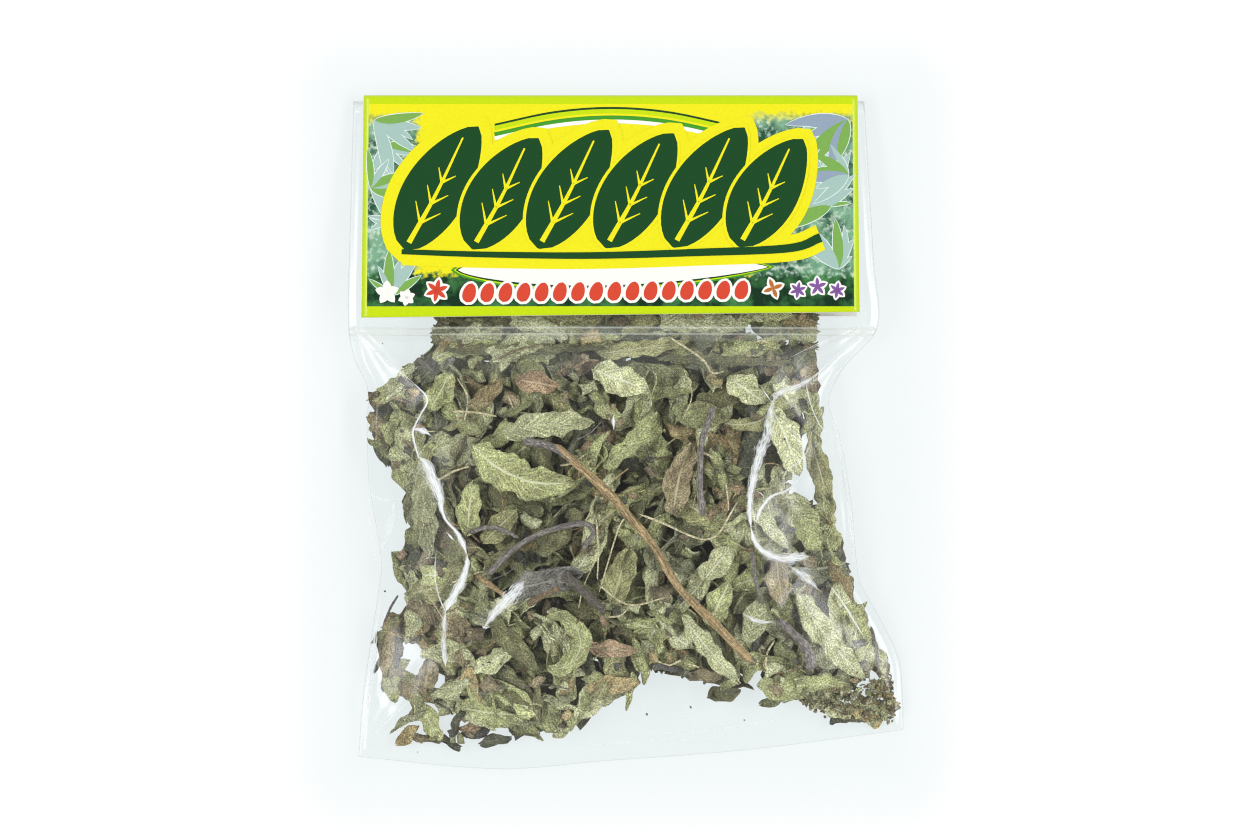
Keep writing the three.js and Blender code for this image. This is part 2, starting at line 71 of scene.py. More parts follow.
# %% [markdown]
# ## The drawing's own numbers
#
# The bag and its leaves are drawn in millimetres, with X across the bag and Y up to the card. The
# frame's origin lies elsewhere, so one shift takes a drawn point into the frame. The shift is
# worked out from the card, whose edges are known in both.

# %% Card and bag, in mm
CARD = {
    "width": 140,
    "middle": -4.2,
    "fold_y": 93.3,
    "fold_deep": 0.75,
    "hem_y": 31.6,
    "thick": 0.45,
    "bow": 1.2,
    "skew": 0.8,
}
GAP = 0.3  # between card and film, where the glue is
BAG = {
    "film": 0.6,
    "seam": 1.0,
    "weld": 2.4,
    "mouth_y": 92.6,
    "bottom_y": -95,
    "flat_to_y": -84,
    "flat_to_side": 0.78,
    "square_down_to_y": -30,
    "back_lift": CARD["thick"] + GAP,
}
RIB_YS = [28, 26.2]
FULL = 23  # the levels of the filling, which are near to mm where the bag is fullest
CLEAR = {"back": 0.25, "front": 0.45}
print("card:", CARD["width"], "mm wide; bag:", BAG["mouth_y"] - BAG["bottom_y"], "mm long")

# %% Stations of the bag's outline and fullness
# The edges are (y, x), the crown and the seams' height are (y, z), and the bottom edge is (x, y).
LEFT_EDGE = [
    (-95, -75.9), (-80, -74.8), (-63.4, -72.6), (-46.4, -70), (-37.9, -69.2), (-15.3, -72.6),
    (-1.1, -73.2), (11.6, -73.2), (18.7, -76.6), (28.6, -78.6), (52.6, -78.3), (93.5, -77.2),
]
RIGHT_EDGE = [
    (-95, 79), (-85.2, 78.8), (-70.5, 77.4), (-53.5, 70.3), (-45, 66.4), (-22.1, 64.1),
    (-2.5, 60.7), (7.4, 57.6), (16.7, 61.8), (28, 71.4), (45.6, 70.6), (93.5, 67.8),
]
CROWN = [
    (-95, 1.6), (-84, 8.6), (-72, 15.6), (-55, 21.6), (-35, 24), (-12, 23.6),
    (5, 20.8), (18, 16.6), (31, 11.8), (52, 8.4), (75, 5.2), (93.5, 2.9),
]
SEAM_HEIGHT = [(-95, 1.1), (-70, 2.6), (-30, 4.6), (10, 4.6), (31, 2.8), (93.5, 1.8)]
BOTTOM_EDGE = [(-76, -93.7), (-36, -97.2), (-7, -95), (35, -91.7), (79, -86)]
print("stations:", len(LEFT_EDGE) + len(RIGHT_EDGE) + len(CROWN) + len(SEAM_HEIGHT) + len(BOTTOM_EDGE))

# %% From the drawing to the frame
low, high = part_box("header_card")
SHIFT = Vector(
    (
        low.x / MM - (CARD["middle"] - CARD["width"] / 2),
        high.y / MM - (CARD["fold_y"] + CARD["fold_deep"] + CARD["thick"] / 2),
        0,
    )
)
print("shift into the frame:", [round(v, 3) for v in SHIFT])

# %% [markdown]
# ## Rules for the bag's shape
#
# The bag isn't a box or a smooth pillow: its edges wander and its fullness changes from row to
# row. A few stations hold each of these, and a smooth curve through them gives every value in
# between. The leaves need the same rules, because they have to stay between the two panels.

# %% Smooth curves through stations
def mix(a, b, t):
    return a + (b - a) * t


def ease(t):
    t = np.clip(t, 0, 1)
    return t * t * (3 - 2 * t)


def through(stations, place):
    """A smooth curve through stations, each (place, value), read at every place."""
    at, value = np.array(stations, float).T
    slope = np.empty(len(at))
    slope[1:-1] = (value[2:] - value[:-2]) / (at[2:] - at[:-2])
    slope[0] = (value[1] - value[0]) / (at[1] - at[0])
    slope[-1] = (value[-1] - value[-2]) / (at[-1] - at[-2])
    i = np.clip(np.searchsorted(at, place) - 1, 0, len(at) - 2)
    span = at[i + 1] - at[i]
    t = np.clip((place - at[i]) / span, 0, 1)
    b = value[i] + slope[i] * span / 3
    c = value[i + 1] - slope[i + 1] * span / 3
    s = 1 - t
    return value[i] * s**3 + 3 * b * t * s**2 + 3 * c * t**2 * s + value[i + 1] * t**3


def route(points, steps):
    """A smooth line in the plane or in space through points, cut into steps."""
    index = np.linspace(0, len(points) - 1, steps + 1)
    columns = [through(list(enumerate(column)), index) for column in zip(*points)]
    return np.stack(columns, axis=-1)


print("crown in the middle:", round(float(through(CROWN, 0.0)), 1), "mm")

# %% The slanting bottom edge
# The bag's bottom edge wanders, so below a line the bag's rows are stretched to meet it. Here
# squared() takes a place to the bag's own row s, and slanted() takes a row back to a place.
def stretch_at(x):
    start = BAG["square_down_to_y"]
    return (through(BOTTOM_EDGE, x) - start) / (BAG["bottom_y"] - start)


def squared(x, y):
    start = BAG["square_down_to_y"]
    return np.where(y > start, y, start + (y - start) / stretch_at(x))


def slanted(x, s):
    start = BAG["square_down_to_y"]
    return np.where(s > start, s, start + (s - start) * stretch_at(x))


print("bottom edge in the middle: y =", round(float(slanted(0.0, BAG["bottom_y"])), 1))

# %% Heights of the two panels
def across(x, s):
    """Where x lies across row s, from -1 at the left edge to 1 at the right one."""
    left, right = through(LEFT_EDGE, s), through(RIGHT_EDGE, s)
    return np.clip(2 * (x - left) / (right - left) - 1, -1, 1)


PILLOW = (2.6, 1.05)  # powers of the front panel's section: how flat its middle, how steep its sides
CARD_STEP = 6  # mm in which the back panel rises onto the card's back flap


def front_height(u, s):
    seam = through(SEAM_HEIGHT, s) + BAG["seam"] / 2
    fullness = np.maximum(1 - np.abs(u) ** PILLOW[0], 0) ** PILLOW[1]
    return mix(seam, through(CROWN, s), fullness)


def back_height(u, s):
    flat = BAG["back_lift"] * ease((s - CARD["hem_y"] + CARD_STEP) / CARD_STEP)
    seam = np.maximum(through(SEAM_HEIGHT, s) - BAG["seam"] / 2, flat)
    to_side = ease((np.abs(u) - BAG["flat_to_side"]) / (1 - BAG["flat_to_side"]))
    to_bottom = ease((BAG["flat_to_y"] - s) / (BAG["flat_to_y"] - BAG["bottom_y"]))
    return mix(flat, seam, np.maximum(to_side, to_bottom))


def in_bag(x, y, height):
    """The level of height in the filling, where 0 is the back panel and FULL the front one."""
    s = squared(x, y)
    u = across(x, s)
    low = back_height(u, s) + BAG["film"] + CLEAR["back"]
    high = front_height(u, s) - BAG["film"] - CLEAR["front"]
    return mix(low, high, height / FULL)


print("fullest:", round(float(front_height(0.0, -30.0)), 1), "mm")

# %% [markdown]
# ## The camera
#
# The packet lies on a table and is seen from straight above, so the camera looks down -Z with +Y
# up in the picture. A long lens a good way off keeps the card's edges straight.

# %% Camera
VIEW_WIDE = 351  # mm of table across the picture
VIEW_CENTRE = (-0.4, 3.2)
VIEW_PLANE = 10  # mm above the table, about half way up the filling
LENS = 85
SENSOR = 36

camera = bpy.data.objects.new("camera", bpy.data.cameras.new("camera"))
bpy.context.collection.objects.link(camera)
camera.data.lens = LENS
camera.data.sensor_width = SENSOR
away = VIEW_WIDE * LENS / SENSOR
camera.location = (Vector((*VIEW_CENTRE, VIEW_PLANE + away)) + SHIFT) * MM
bpy.context.scene.camera = camera
print("camera height:", round(camera.location.z, 3), "m")

# %% [markdown]
# ## Small tools for pieces and finishes
#
# Almost every piece here is a thin sheet: film, leaf, card or ink. So one helper lays a grid and
# moves its points by a formula. Each point also keeps its place along and across its sheet and
# a shade of its own in the attribute grain, so that a finish can follow the sheet however it curls.

# %% A grid laid by a formula
SEEDS = {
    "large leaves": 0,
    "bed": 100,
    "strays": 150,
    "flakes": 200,
    "small flakes": 210,
    "crumbs": 300,
    "corner flakes": 320,
    "stems": 400,
    "twigs": 490,
    "stalks": 500,
    "pleats": 550,
    "corner leaves": 600,
}


def dice(what, number=0):
    """Random numbers for one kind of piece, the same at each run whatever the others draw."""
    return np.random.default_rng(SEEDS[what] + number)


def new_sheet():
    bm = bmesh.new()
    bm.verts.layers.float_vector.new("grain")
    return bm


def lay_grid(bm, rows, columns, shape, shade=0.5, finish=0):
    """Adds a grid to bm. shape(t, w) gives x, y, z in mm, for t from 0 to 1 and w from -1 to 1."""
    grain = bm.verts.layers.float_vector["grain"]
    made = bmesh.ops.create_grid(bm, x_segments=rows, y_segments=columns, size=0.5)["verts"]
    places = np.array([v.co for v in made])
    t, w = places[:, 0] + 0.5, places[:, 1] * 2
    x, y, z = shape(t, w)
    for v, a, b, px, py, pz in zip(made, t, w, x, y, z):
        v.co = (Vector((px, py, pz)) + SHIFT) * MM
        v[grain] = (a, b, shade)
        for face in v.link_faces:
            face.material_index = finish
            face.smooth = True
    return made


print("kinds of random draws:", len(SEEDS))

# %% A finished piece
def add_piece(name, bm, finishes, replaces=()):
    """Makes bm an object on the packet's one body, in place of the CAD nodes that it replaces."""
    mesh = bpy.data.meshes.new(name)
    bm.to_mesh(mesh)
    bm.free()
    for finish in finishes:
        mesh.materials.append(finish)
    piece = bpy.data.objects.new(name, mesh)
    bpy.context.collection.objects.link(piece)
    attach(piece, "root")
    if replaces:
        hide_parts(*replaces)
    return piece


def thicken(piece, thick, offset=0.0, inner=0, rim=0):
    """Gives a sheet its wall. inner and rim count on from the face's finish to the wall's others."""
    solidify = piece.modifiers.new("thickness", "SOLIDIFY")
    solidify.thickness = thick * MM
    solidify.offset = offset
    solidify.material_offset = inner
    solidify.material_offset_rim = rim


print("piece tools ready")

# %% Tools for finishes
def linear(hex_colour):
    """A colour written as sRGB hex, as the shader wants it."""
    channels = [int(hex_colour[i : i + 2], 16) / 255 for i in (0, 2, 4)]
    return (*[c / 12.92 if c <= 0.04045 else ((c + 0.055) / 1.055) ** 2.4 for c in channels], 1.0)


def new_finish(name):
    material = bpy.data.materials.new(name)
    material.use_nodes = True
    material.node_tree.nodes.clear()
    return material.node_tree


def node(tree, kind, *values, out=0, **named):
    """Adds a node and gives back its output out, or the node itself where out is None.

    values go to its sockets in order. A name with a small letter is one of the node's own fields,
    one with a capital is the socket of that name, and _6 is socket number 6.
    """
    made = tree.nodes.new("ShaderNode" + kind)
    sockets = dict(enumerate(values))
    for name, value in named.items():
        if name[0].islower():
            setattr(made, name, value)
        else:
            sockets[int(name[1:]) if name[0] == "_" else name.replace("_", " ")] = value
    for key, value in sockets.items():
        if isinstance(value, bpy.types.NodeSocket):
            tree.links.new(value, made.inputs[key])
        else:
            made.inputs[key].default_value = value
    return made if out is None else made.outputs[out]


print("grid and node tools ready")

# %% [markdown]
# ## Dried sage leaf
#
# A fresh sage leaf is felted grey-green, and its skin is raised in small pads between a fine net
# of veins. Dried, it keeps the net, loses its gloss and goes dull olive, tan or brown in patches.
# A picture of a leaf could be mapped on, but the net can be drawn: cells of a Voronoi pattern are
# the pads, their edges are the veins, and the grain attribute places the midrib and side veins.

# %% Tones of a dried leaf
# Each tone: the skin's colour, its colour in dark patches, and that of its veins and felt.
TONES = {
    "pale": ("e5e8b6", "c1c392", "f6f7de"),
    "green": ("d2d798", "a3a572", "e9ebc4"),
    "olive": ("bbb984", "86865a", "d8d5ae"),
    "dark": ("8a8d72", "545943", "b6b79a"),
    "brown": ("bdae88", "7f7358", "d0c5a2"),
    "rust": ("d2b792", "9e8466", "e2ccae"),
    "tan": ("dac892", "a89264", "ebddb2"),
    "grey": ("95938a", "62615a", "bab8ad"),
}
TONE_NAMES = list(TONES)
print("tones:", ", ".join(TONE_NAMES))

# %% The marks of a dried leaf
NET_MM = 0.8  # one pad between the finest veins
MOTTLE_MM = 5  # a patch of one tone
SPECK_MM = 0.46  # a tuft of felt, which is finer on the real leaf than could show here
SIDE_VEINS = 8
VEIN_LEAN = 2.2  # side veins that a line straight out from the midrib crosses


def net_of_pads(tree, place):
    """0 on a fine vein of the net and 1 on top of a pad between its veins."""
    # The net's cells are pulled out of shape, because no two pads on a leaf are alike.
    net = 1 / (NET_MM * MM)
    pull = node(tree, "TexNoise", Vector=place, Scale=0.6 * net, Detail=2.0, out="Color")
    pull = node(tree, "VectorMath", pull, operation="SCALE", Scale=NET_MM * MM * 1.3)
    pulled = node(tree, "VectorMath", place, pull, operation="ADD")
    edge = node(tree, "TexVoronoi", feature="DISTANCE_TO_EDGE", Vector=pulled, Scale=net, out="Distance")
    return node(tree, "MapRange", edge, 0.0, 0.35)


def side_vein_count(tree, along, off_rib):
    """Counts side veins. They leave the midrib at a slant, so it's along less a share of side."""
    back = node(tree, "Math", off_rib, -VEIN_LEAN, operation="MULTIPLY")
    return node(tree, "Math", along, float(SIDE_VEINS), back, operation="MULTIPLY_ADD")


def veins_and_felt(tree, off_rib, count, shade, speck):
    """Where the pale midrib, side veins and hairs show."""
    nearest = node(tree, "Math", count, 0.5, operation="PINGPONG")
    side_vein = node(tree, "MapRange", nearest, 0.07, 0.0, 0.0, 0.4)
    rib = node(tree, "MapRange", off_rib, 0.1, 0.04)
    veins = node(tree, "Math", rib, side_vein, operation="MAXIMUM")
    # Only a leaf that lies with its paler back up shows them plainly.
    back_up = node(tree, "MapRange", shade, 0.5, 0.8, 0.08, 0.85)
    veins = node(tree, "Math", veins, back_up, operation="MULTIPLY")
    # The felt's pale hairs show as fine points wherever it isn't rubbed off.
    hairs = node(tree, "MapRange", speck, 0.55, 0.72, 0.0, 0.45)
    felt = node(tree, "MapRange", shade, 0, 1, 0.3, 1)
    hairs = node(tree, "Math", hairs, felt, operation="MULTIPLY")
    return node(tree, "Math", veins, hairs, operation="MAXIMUM")


def drawn_up(tree, off_rib, count, shade):
    """The fine pleats that drying skin draws up into between its side veins."""
    x = node(tree, "Math", count, 4.0, operation="MULTIPLY")
    z = node(tree, "Math", shade, 40.0, operation="MULTIPLY")
    way = node(tree, "CombineXYZ", x, off_rib, z)
    return node(tree, "TexNoise", Vector=way, Scale=1.0, Detail=3.0, Roughness=0.6)


print("net:", NET_MM, "mm; side veins:", SIDE_VEINS)

# %% Finish: dried sage leaf
def leaf_finish(tone):
    face, shadow, vein = [linear(c) for c in TONES[tone]]
    tree = new_finish(f"dried sage leaf, {tone}")
    place = node(tree, "TexCoord", out="Object")
    grain = node(tree, "Attribute", attribute_name="grain", out="Vector")
    along, side, shade = node(tree, "SeparateXYZ", grain, out=None).outputs
    off_rib = node(tree, "Math", side, operation="ABSOLUTE")
    mottle = node(tree, "TexNoise", Vector=place, Scale=1 / (MOTTLE_MM * MM), Detail=6.0, Roughness=0.65)
    speck = node(tree, "TexNoise", Vector=place, Scale=1 / (SPECK_MM * MM), Detail=2.0, Roughness=0.8)
    pad = net_of_pads(tree, place)
    count = side_vein_count(tree, along, off_rib)
    veins = veins_and_felt(tree, off_rib, count, shade, speck)
    pleats = drawn_up(tree, off_rib, count, shade)

    # Its patches are darkened by grit and the leaf's own shade. In the grooves of the net and the
    # folds of the pleats, the low places of its bump, the darkening is painted shade.
    patch = node(tree, "MapRange", mottle, 0.38, 0.62)
    base = node(tree, "Mix", patch, data_type="RGBA", _6=shadow, _7=face, out=2)
    bright = node(tree, "MapRange", pad, 0, 1, 0.66, 1.1)
    # The shade mark is partly the leaf's own tone and partly painted shade: leaves of the bed's deep tiers
    # draw low shades.
    for mark, least, most, dark, light in (
        (speck, 0.38, 0.62, 0.46, 1.3),
        (pleats, 0.38, 0.62, 0.62, 1.2),
        (shade, 0, 1, 0.62, 1.64),
    ):
        share = node(tree, "MapRange", mark, least, most, dark, light)
        bright = node(tree, "Math", bright, share, operation="MULTIPLY")
    lit = node(tree, "VectorMath", base, operation="SCALE", Scale=bright)
    colour = node(tree, "Mix", veins, data_type="RGBA", _6=lit, _7=vein, out=2)

    relief = node(tree, "Math", pad, 0.7, operation="MULTIPLY")
    relief = node(tree, "Math", speck, 0.8, relief, operation="MULTIPLY_ADD")
    relief = node(tree, "Math", veins, 0.9, relief, operation="MULTIPLY_ADD")
    relief = node(tree, "Math", pleats, 1.6, relief, operation="MULTIPLY_ADD")
    bump = node(tree, "Bump", Strength=1.0, Distance=0.42 * MM, Height=relief)
    skin = node(
        tree, "BsdfPrincipled", Base_Color=colour, Roughness=0.85, Normal=bump,
        Specular_IOR_Level=0.25, Sheen_Weight=0.1,
    )
    node(tree, "OutputMaterial", skin, out=None)
    return bpy.data.materials[f"dried sage leaf, {tone}"]


LEAF_FINISHES = {tone: leaf_finish(tone) for tone in TONES}
print("leaf finishes:", len(LEAF_FINISHES))

# %% [markdown]
# ## The blade of a leaf
#
# Every leaf grows from one rule: a bent midrib, and across it a strip that curls up at its sides.
# A dried leaf also crumples, so slow waves in random directions are added, and the skin is quilted
# between its side veins. Modelling each leaf by hand would give the same with far more work, and
# a cloth simulation can't be steered to a given outline.

# %% A blade's outline
# The part of the filling that a leaf is pressed into: the levels of its floor and its ceiling.
LAYER = {"low": (12.5, 17), "high": (17.2, 21.7), "loose": (14, 21.7), "edge": (1, 22)}
LEAF_THICK = 0.35
LEAF = {
    "bend": 0,  # degrees that the midrib turns, seen from above
    "arch": 1.2,  # mm that its ends stand up
    "roll": 70,  # degrees that its sides curl up, or down where negative
    "bank": 0,  # degrees that it leans to one side
    "twist": 25,  # degrees more lean at its tip than at its base
    "wave": 0.5,  # mm that its sides wave
    "layer": "high",
    "whole": (0, 1),  # the part of its length that is left
}


def half_width(leaf, t, w):
    """Half the blade's width. Its two sides are torn differently, so no leaf is an even oval."""
    kept = mix(*leaf["whole"], t)
    body = np.maximum(np.sin(np.pi * np.clip(kept, 0, 1) ** 0.85), 0) ** 0.5
    far, side = t * leaf["long"], np.sign(w)
    (x, y), yaw = leaf["at"], leaf["yaw"]
    torn = 1 + 0.12 * np.sin(far * 0.55 + yaw + 2.1 * side) + 0.07 * np.sin(far * 1.3 + x + 4 * side)
    torn = torn + 0.03 * np.sin(far * 2.9 + y + 3 * side)
    return np.maximum(leaf["wide"] / 2 * body * torn, 0.3)


print("a plain leaf:", LEAF)

# %% A blade's crumple
CRUMPLE = 0.12  # height of a crumple as a part of its length
CRUMPLE_LONG = (13, 8, 5, 3.3, 2.2)  # mm
QUILT_HIGH = 0.16  # mm that the skin swells between its side veins
GROOVE_DEEP, GROOVE_WIDE = 0.2, 0.1  # the midrib's groove: in mm, and as a part of the half width


def creased(phase):
    """A wave of straight flanks and nearly sharp crests, as paper takes when it is crumpled."""
    return 2 / np.pi * np.arcsin(0.96 * np.sin(phase))


def crumpled(leaf, t, w, draw):
    """How high the crumples, the quilting and the groove lift the skin."""
    far, wide = t * leaf["long"], w * leaf["wide"] / 2
    lifted = []
    for length in CRUMPLE_LONG:
        way = draw.uniform(0, np.pi)
        phase = draw.uniform(0, 2 * np.pi)
        along = far * np.cos(way) + wide * np.sin(way)
        lifted.append(CRUMPLE * length * creased(2 * np.pi * along / length + phase))
    quilt = np.abs(np.sin(np.pi * (t * SIDE_VEINS - VEIN_LEAN * np.abs(w))))
    lifted.append(QUILT_HIGH * (quilt - 1) * np.minimum(leaf["wide"] / 6, 1))
    lifted.append(-GROOVE_DEEP * np.exp(-((w / GROOVE_WIDE) ** 2)))
    return lifted


print("deepest crumple:", round(CRUMPLE * max(CRUMPLE_LONG), 2), "mm")

# %% The whole blade
def blade(leaf, t, w, draw):
    """The middle surface of a blade, before it is laid in the bag."""
    ragged = 0.4 * np.sin(4 * w + leaf["yaw"]) / leaf["long"]
    along = t - 0.5 + ragged * np.abs(2 * t - 1) ** 4
    turn = math.radians(leaf["bend"]) or 1e-6
    yaw = math.radians(leaf["yaw"])
    heading = yaw + turn * along
    chord = leaf["long"] * 2 * np.sin(turn * along / 2) / turn
    curl = math.radians(leaf["roll"]) / 2
    radius = half_width(leaf, t, w) / curl
    side, lift = radius * np.sin(curl * w), radius * (1 - np.cos(curl * w))
    lean = np.radians(leaf["bank"] + leaf["twist"] * along)
    out = side * np.cos(lean) - lift * np.sin(lean)
    up = side * np.sin(lean) + lift * np.cos(lean) + leaf["arch"] * 4 * along**2
    up = up + leaf["wave"] * w**2 * np.sin(4.6 * np.pi * t + 1.3 * w + leaf["yaw"])
    for lifted in crumpled(leaf, t, w, draw):
        up = up + lifted
    far = t * leaf["long"]
    out = out + 0.3 * np.sin(2 * np.pi * far / 6.5 + leaf["yaw"]) * np.abs(w)
    x = leaf["at"][0] + chord * np.cos(yaw + turn * along / 2) - out * np.sin(heading)
    y = leaf["at"][1] + chord * np.sin(yaw + turn * along / 2) + out * np.cos(heading)
    return x, y, up


# %% Lay a blade in the bag
SKIN_GAP = 0.1  # mm left free between a leaf's faces and its layer


def lay_leaf(bm, leaf, rows, columns, draw, layer, finish=0):
    """Adds a leaf to bm, laid in a layer of the filling and pressed flatter where it must be."""

    def shape(t, w):
        x, y, up = blade(leaf, t, w, draw)
        bottom = in_bag(x, y, layer[0]) + LEAF_THICK / 2 + SKIN_GAP
        top = in_bag(x, y, layer[1]) - LEAF_THICK / 2 - SKIN_GAP
        room = np.maximum(top - bottom, 0)
        deep = np.ptp(up)
        spare = np.maximum(room - deep, 0)
        return x, y, bottom + spare / 2 + (up - up.min()) * np.minimum(1, room / deep)

    shade = leaf.get("shade", draw.uniform())
    return lay_grid(bm, rows, columns, shape, shade=shade, finish=finish)


print("gap to a leaf's layer:", SKIN_GAP, "mm")

# %% [markdown]
# ## The large leaves
#
# These are the leaves that the eye picks out on top of the heap, each in its own place with its
# own curl. They follow the CAD's blades, and are split finely enough for veins and crumples.

# %% The large leaves, one by one
def leaf_row(at, yaw, long, wide, tone, **special):
    """One leaf of a table: its middle, heading, length, width, tone, and how it differs from LEAF."""
    return {"at": at, "yaw": yaw, "long": long, "wide": wide, "tone": tone, **special}


LEAVES = {
    "arched": leaf_row((-30, -14), -20, 31, 11, "green", bend=65, shade=0.78),
    "bright": leaf_row((-21.5, 1), 8, 25, 7.6, "pale", bend=-25),
    "wide": leaf_row((-46.5, -6.5), -8, 20, 10, "pale", layer="low"),
    "upright": leaf_row((-56.5, -23), -86, 27, 7.6, "pale", bend=12),
    "lobed": leaf_row((-43.5, -22.5), 84, 15, 7, "green"),
    "slanting": leaf_row((-35, -27.5), 45, 13, 6.6, "olive"),
    "boat": leaf_row((15, -14), 76, 20, 9, "brown", roll=120, bend=-20, shade=1),
    "forked": leaf_row((2, -4), 47, 21, 5.4, "green", bend=20),
    "lying_right": leaf_row((55.2, -13.6), -76.6, 27, 6, "olive", roll=30, wave=0.1, layer="edge", shade=0.9),
    "veined": leaf_row((45.5, -4), -68, 20, 8.6, "pale", bend=-14, shade=0.9),
    "ashy": leaf_row((-1.6, 13.4), -20, 16, 9, "pale"),
    "tucked": leaf_row((12, 11), 8, 17, 6.4, "green", layer="low"),
    "draped": leaf_row((21, 3.5), -6, 16, 8, "green", roll=95),
    "under_ribs": leaf_row((5, 22.3), 8, 25, 5, "olive", shade=1),
    "rounded": leaf_row((34, 10.5), -35, 12, 8, "pale"),
    "ring": leaf_row((-12.5, -60), 90, 27, 6, "green", bend=205, twist=0),
    "lance": leaf_row((-44.3, -80.3), -32, 18, 5.8, "pale", arch=0.6, layer="edge"),
    "long_pale": leaf_row((57, -59.5), -52, 31, 8, "pale", bend=14, layer="loose", shade=0.62),
    "slash": leaf_row((23.6, -62.5), -50, 25, 5.6, "pale", bend=10, shade=0.75),
    "oval": leaf_row((25.5, -38), 50, 12, 7.2, "pale", shade=0.75),
    "oval_below": leaf_row((26, -49), 64, 13, 7.2, "green", shade=0.8),
    "stub": leaf_row((34.5, -43), 20, 10, 7, "green", layer="low"),
    "pale_flap": leaf_row((36, -54), 76, 13, 7, "pale"),
    "edge_right": leaf_row((61, -45), -68, 25, 5.6, "green", arch=0.5, layer="edge"),
    "edge_left": leaf_row((-61, -43), -57, 18, 6, "green", arch=0.5, layer="edge"),
    "tan_left": leaf_row((-62, -56), 5, 14, 8, "tan", arch=0.5, layer="edge"),
    "corner_curl": leaf_row((-66, -71), 72, 14, 5, "green", bend=-100, layer="edge"),
    "disc": leaf_row((-56, -70.5), 80, 10, 7, "brown", arch=0.5, layer="edge"),
    "foot_left": leaf_row((-55.6, -83.5), -60, 13, 5.6, "green", arch=0.4, layer="edge"),
    "foot_middle": leaf_row((-26.7, -81), 0, 14, 6, "pale", arch=0.4, layer="edge"),
    "slope": leaf_row((-31.6, -60.5), -45, 20, 6.4, "olive", roll=100),
    "ashen": leaf_row((-22, -43), 15, 21, 8.4, "grey", shade=1),
    "olive": leaf_row((-20, -31), 35, 12, 7.6, "olive"),
    "amber": leaf_row((-1.3, -41), 72, 16, 8.4, "olive", shade=0.9),
    "chip": leaf_row((9.5, -37), -30, 10, 6, "pale"),
    "rust": leaf_row((-24.5, 12.4), -10, 12, 6.4, "rust", shade=0.8),
    "hooked": leaf_row((-38.5, 9), 40, 12, 5, "tan", bend=50),
    "yellowed": leaf_row((-52, 10), 62, 12, 7.6, "green"),
    "far_left": leaf_row((-66.6, 1.5), -84, 13, 6.4, "green", arch=0.5, layer="edge"),
    "swirled": leaf_row((51, -28), -60, 15, 8.6, "green", bend=-40),
    "narrow": leaf_row((40.5, -28), -48, 15, 4.4, "pale"),
    "umber": leaf_row((43, -43), -82, 13, 7.4, "brown"),
}

print("longest of them:", max(leaf["long"] for leaf in LEAVES.values()), "mm")

# %% Lay the large leaves
ALONG_STEP, ACROSS_STEP = 0.7, 0.75  # mm between the points of a large leaf

for number, (name, listed) in enumerate(LEAVES.items()):
    leaf = LEAF | listed
    bm = new_sheet()
    rows = round(leaf["long"] / ALONG_STEP)
    columns = 2 * round(leaf["wide"] / ACROSS_STEP / 2)
    lay_leaf(bm, leaf, rows, columns, dice("large leaves", number), LAYER[leaf["layer"]])
    finish = LEAF_FINISHES[leaf["tone"]]
    piece = add_piece(f"{name}_leaf", bm, [finish], [f"leaf_{name}"])
    thicken(piece, LEAF_THICK)
print("large leaves:", len(LEAVES))

# %% [markdown]
# ## The bed of leaves
#
# Below the large leaves lie about nine hundred smaller ones, broken and whole. Placing them one by
# one isn't worth it, and physics would need minutes, so they are scattered: a jittered grid keeps
# them evenly spread. A leaf near the heap's outline is shorter and lies along it, as loose leaves
# do in a corner of a bag, and bare spots are kept where the table shows through.

# %% Where the bed lies
# The heap's outline, and the bare spots in it as x, y and radius.
MASS = [
    (-55.6, 34), (-54.8, 22.9), (-64.1, 15.8), (-70.3, 7.4), (-71.5, -4), (-66.9, -12.5), (-62, -18.5),
    (-60.8, -31), (-65.6, -36.5), (-61.5, -45), (-60.7, -50.7), (-68.3, -56.3), (-71.2, -72), (-60.5, -76.5),
    (-65, -88.6), (-47.1, -90.3), (-35.8, -84.6), (-30.1, -87.4), (-11.7, -84.6), (-7.5, -77.5), (2.4, -74.7),
    (3.8, -67.6), (20.8, -70.5), (37.8, -77.5), (49.1, -77.5), (63.3, -83.2), (74.6, -83.2),
    (76.6, -73.3), (68.9, -57.7), (63.3, -43.6), (59, -23.8), (59, -9.6), (54.8, 1.7), (54.8, 13), (54.8, 34),
]
BARE = [
    (-48.5, 28.6, 1.2), (-33.5, 28.8, 1), (36, 27, 2.4), (43.4, 30, 1), (47.6, 24.3, 2.2),
    (-60.5, -65.5, 3.4), (-55, -71, 1.4), (-57, -79.5, 1.6), (-52.5, -83, 2.4), (36.4, -74.7, 4),
    (50.8, -9, 4.5), (52, -16, 4), (59, -11, 5), (60.5, -20, 4.5), (70, -77, 6),
]
# Where brown leaves lie together: a middle, a radius, and how much likelier they are there.
BROWN_SPOTS = [
    (-58, -60, 13, 4), (-42, -68, 9, 2.5), (-54, -42, 8, 6), (-20, 12, 9, 2), (38, -62, 9, 4),
    (-16, -54, 7, 3), (-46, -8, 8, 1.5), (30, -20, 9, 1.5),
]
BROWN_TONES = (4, 5, 6)

# %% Rules for a place in the heap
FAR = 1e9
HEAP_X, HEAP_Y = (-74, 80), (-92, 34)
LEAST_ROOM = 0.8  # mm


def inside_mass(x, y):
    """How far x, y lies inside the heap's outline, in mm. Outside it, the distance is negative."""
    nearest, inside = FAR, False
    for (ax, ay), (bx, by) in zip(MASS, MASS[1:] + MASS[:1]):
        if (ay > y) != (by > y) and x < ax + (y - ay) * (bx - ax) / (by - ay):
            inside = not inside
        t = ((x - ax) * (bx - ax) + (y - ay) * (by - ay)) / ((bx - ax) ** 2 + (by - ay) ** 2)
        t = min(max(t, 0), 1)
        nearest = min(nearest, math.hypot(x - mix(ax, bx, t), y - mix(ay, by, t)))
    return nearest if inside else -nearest


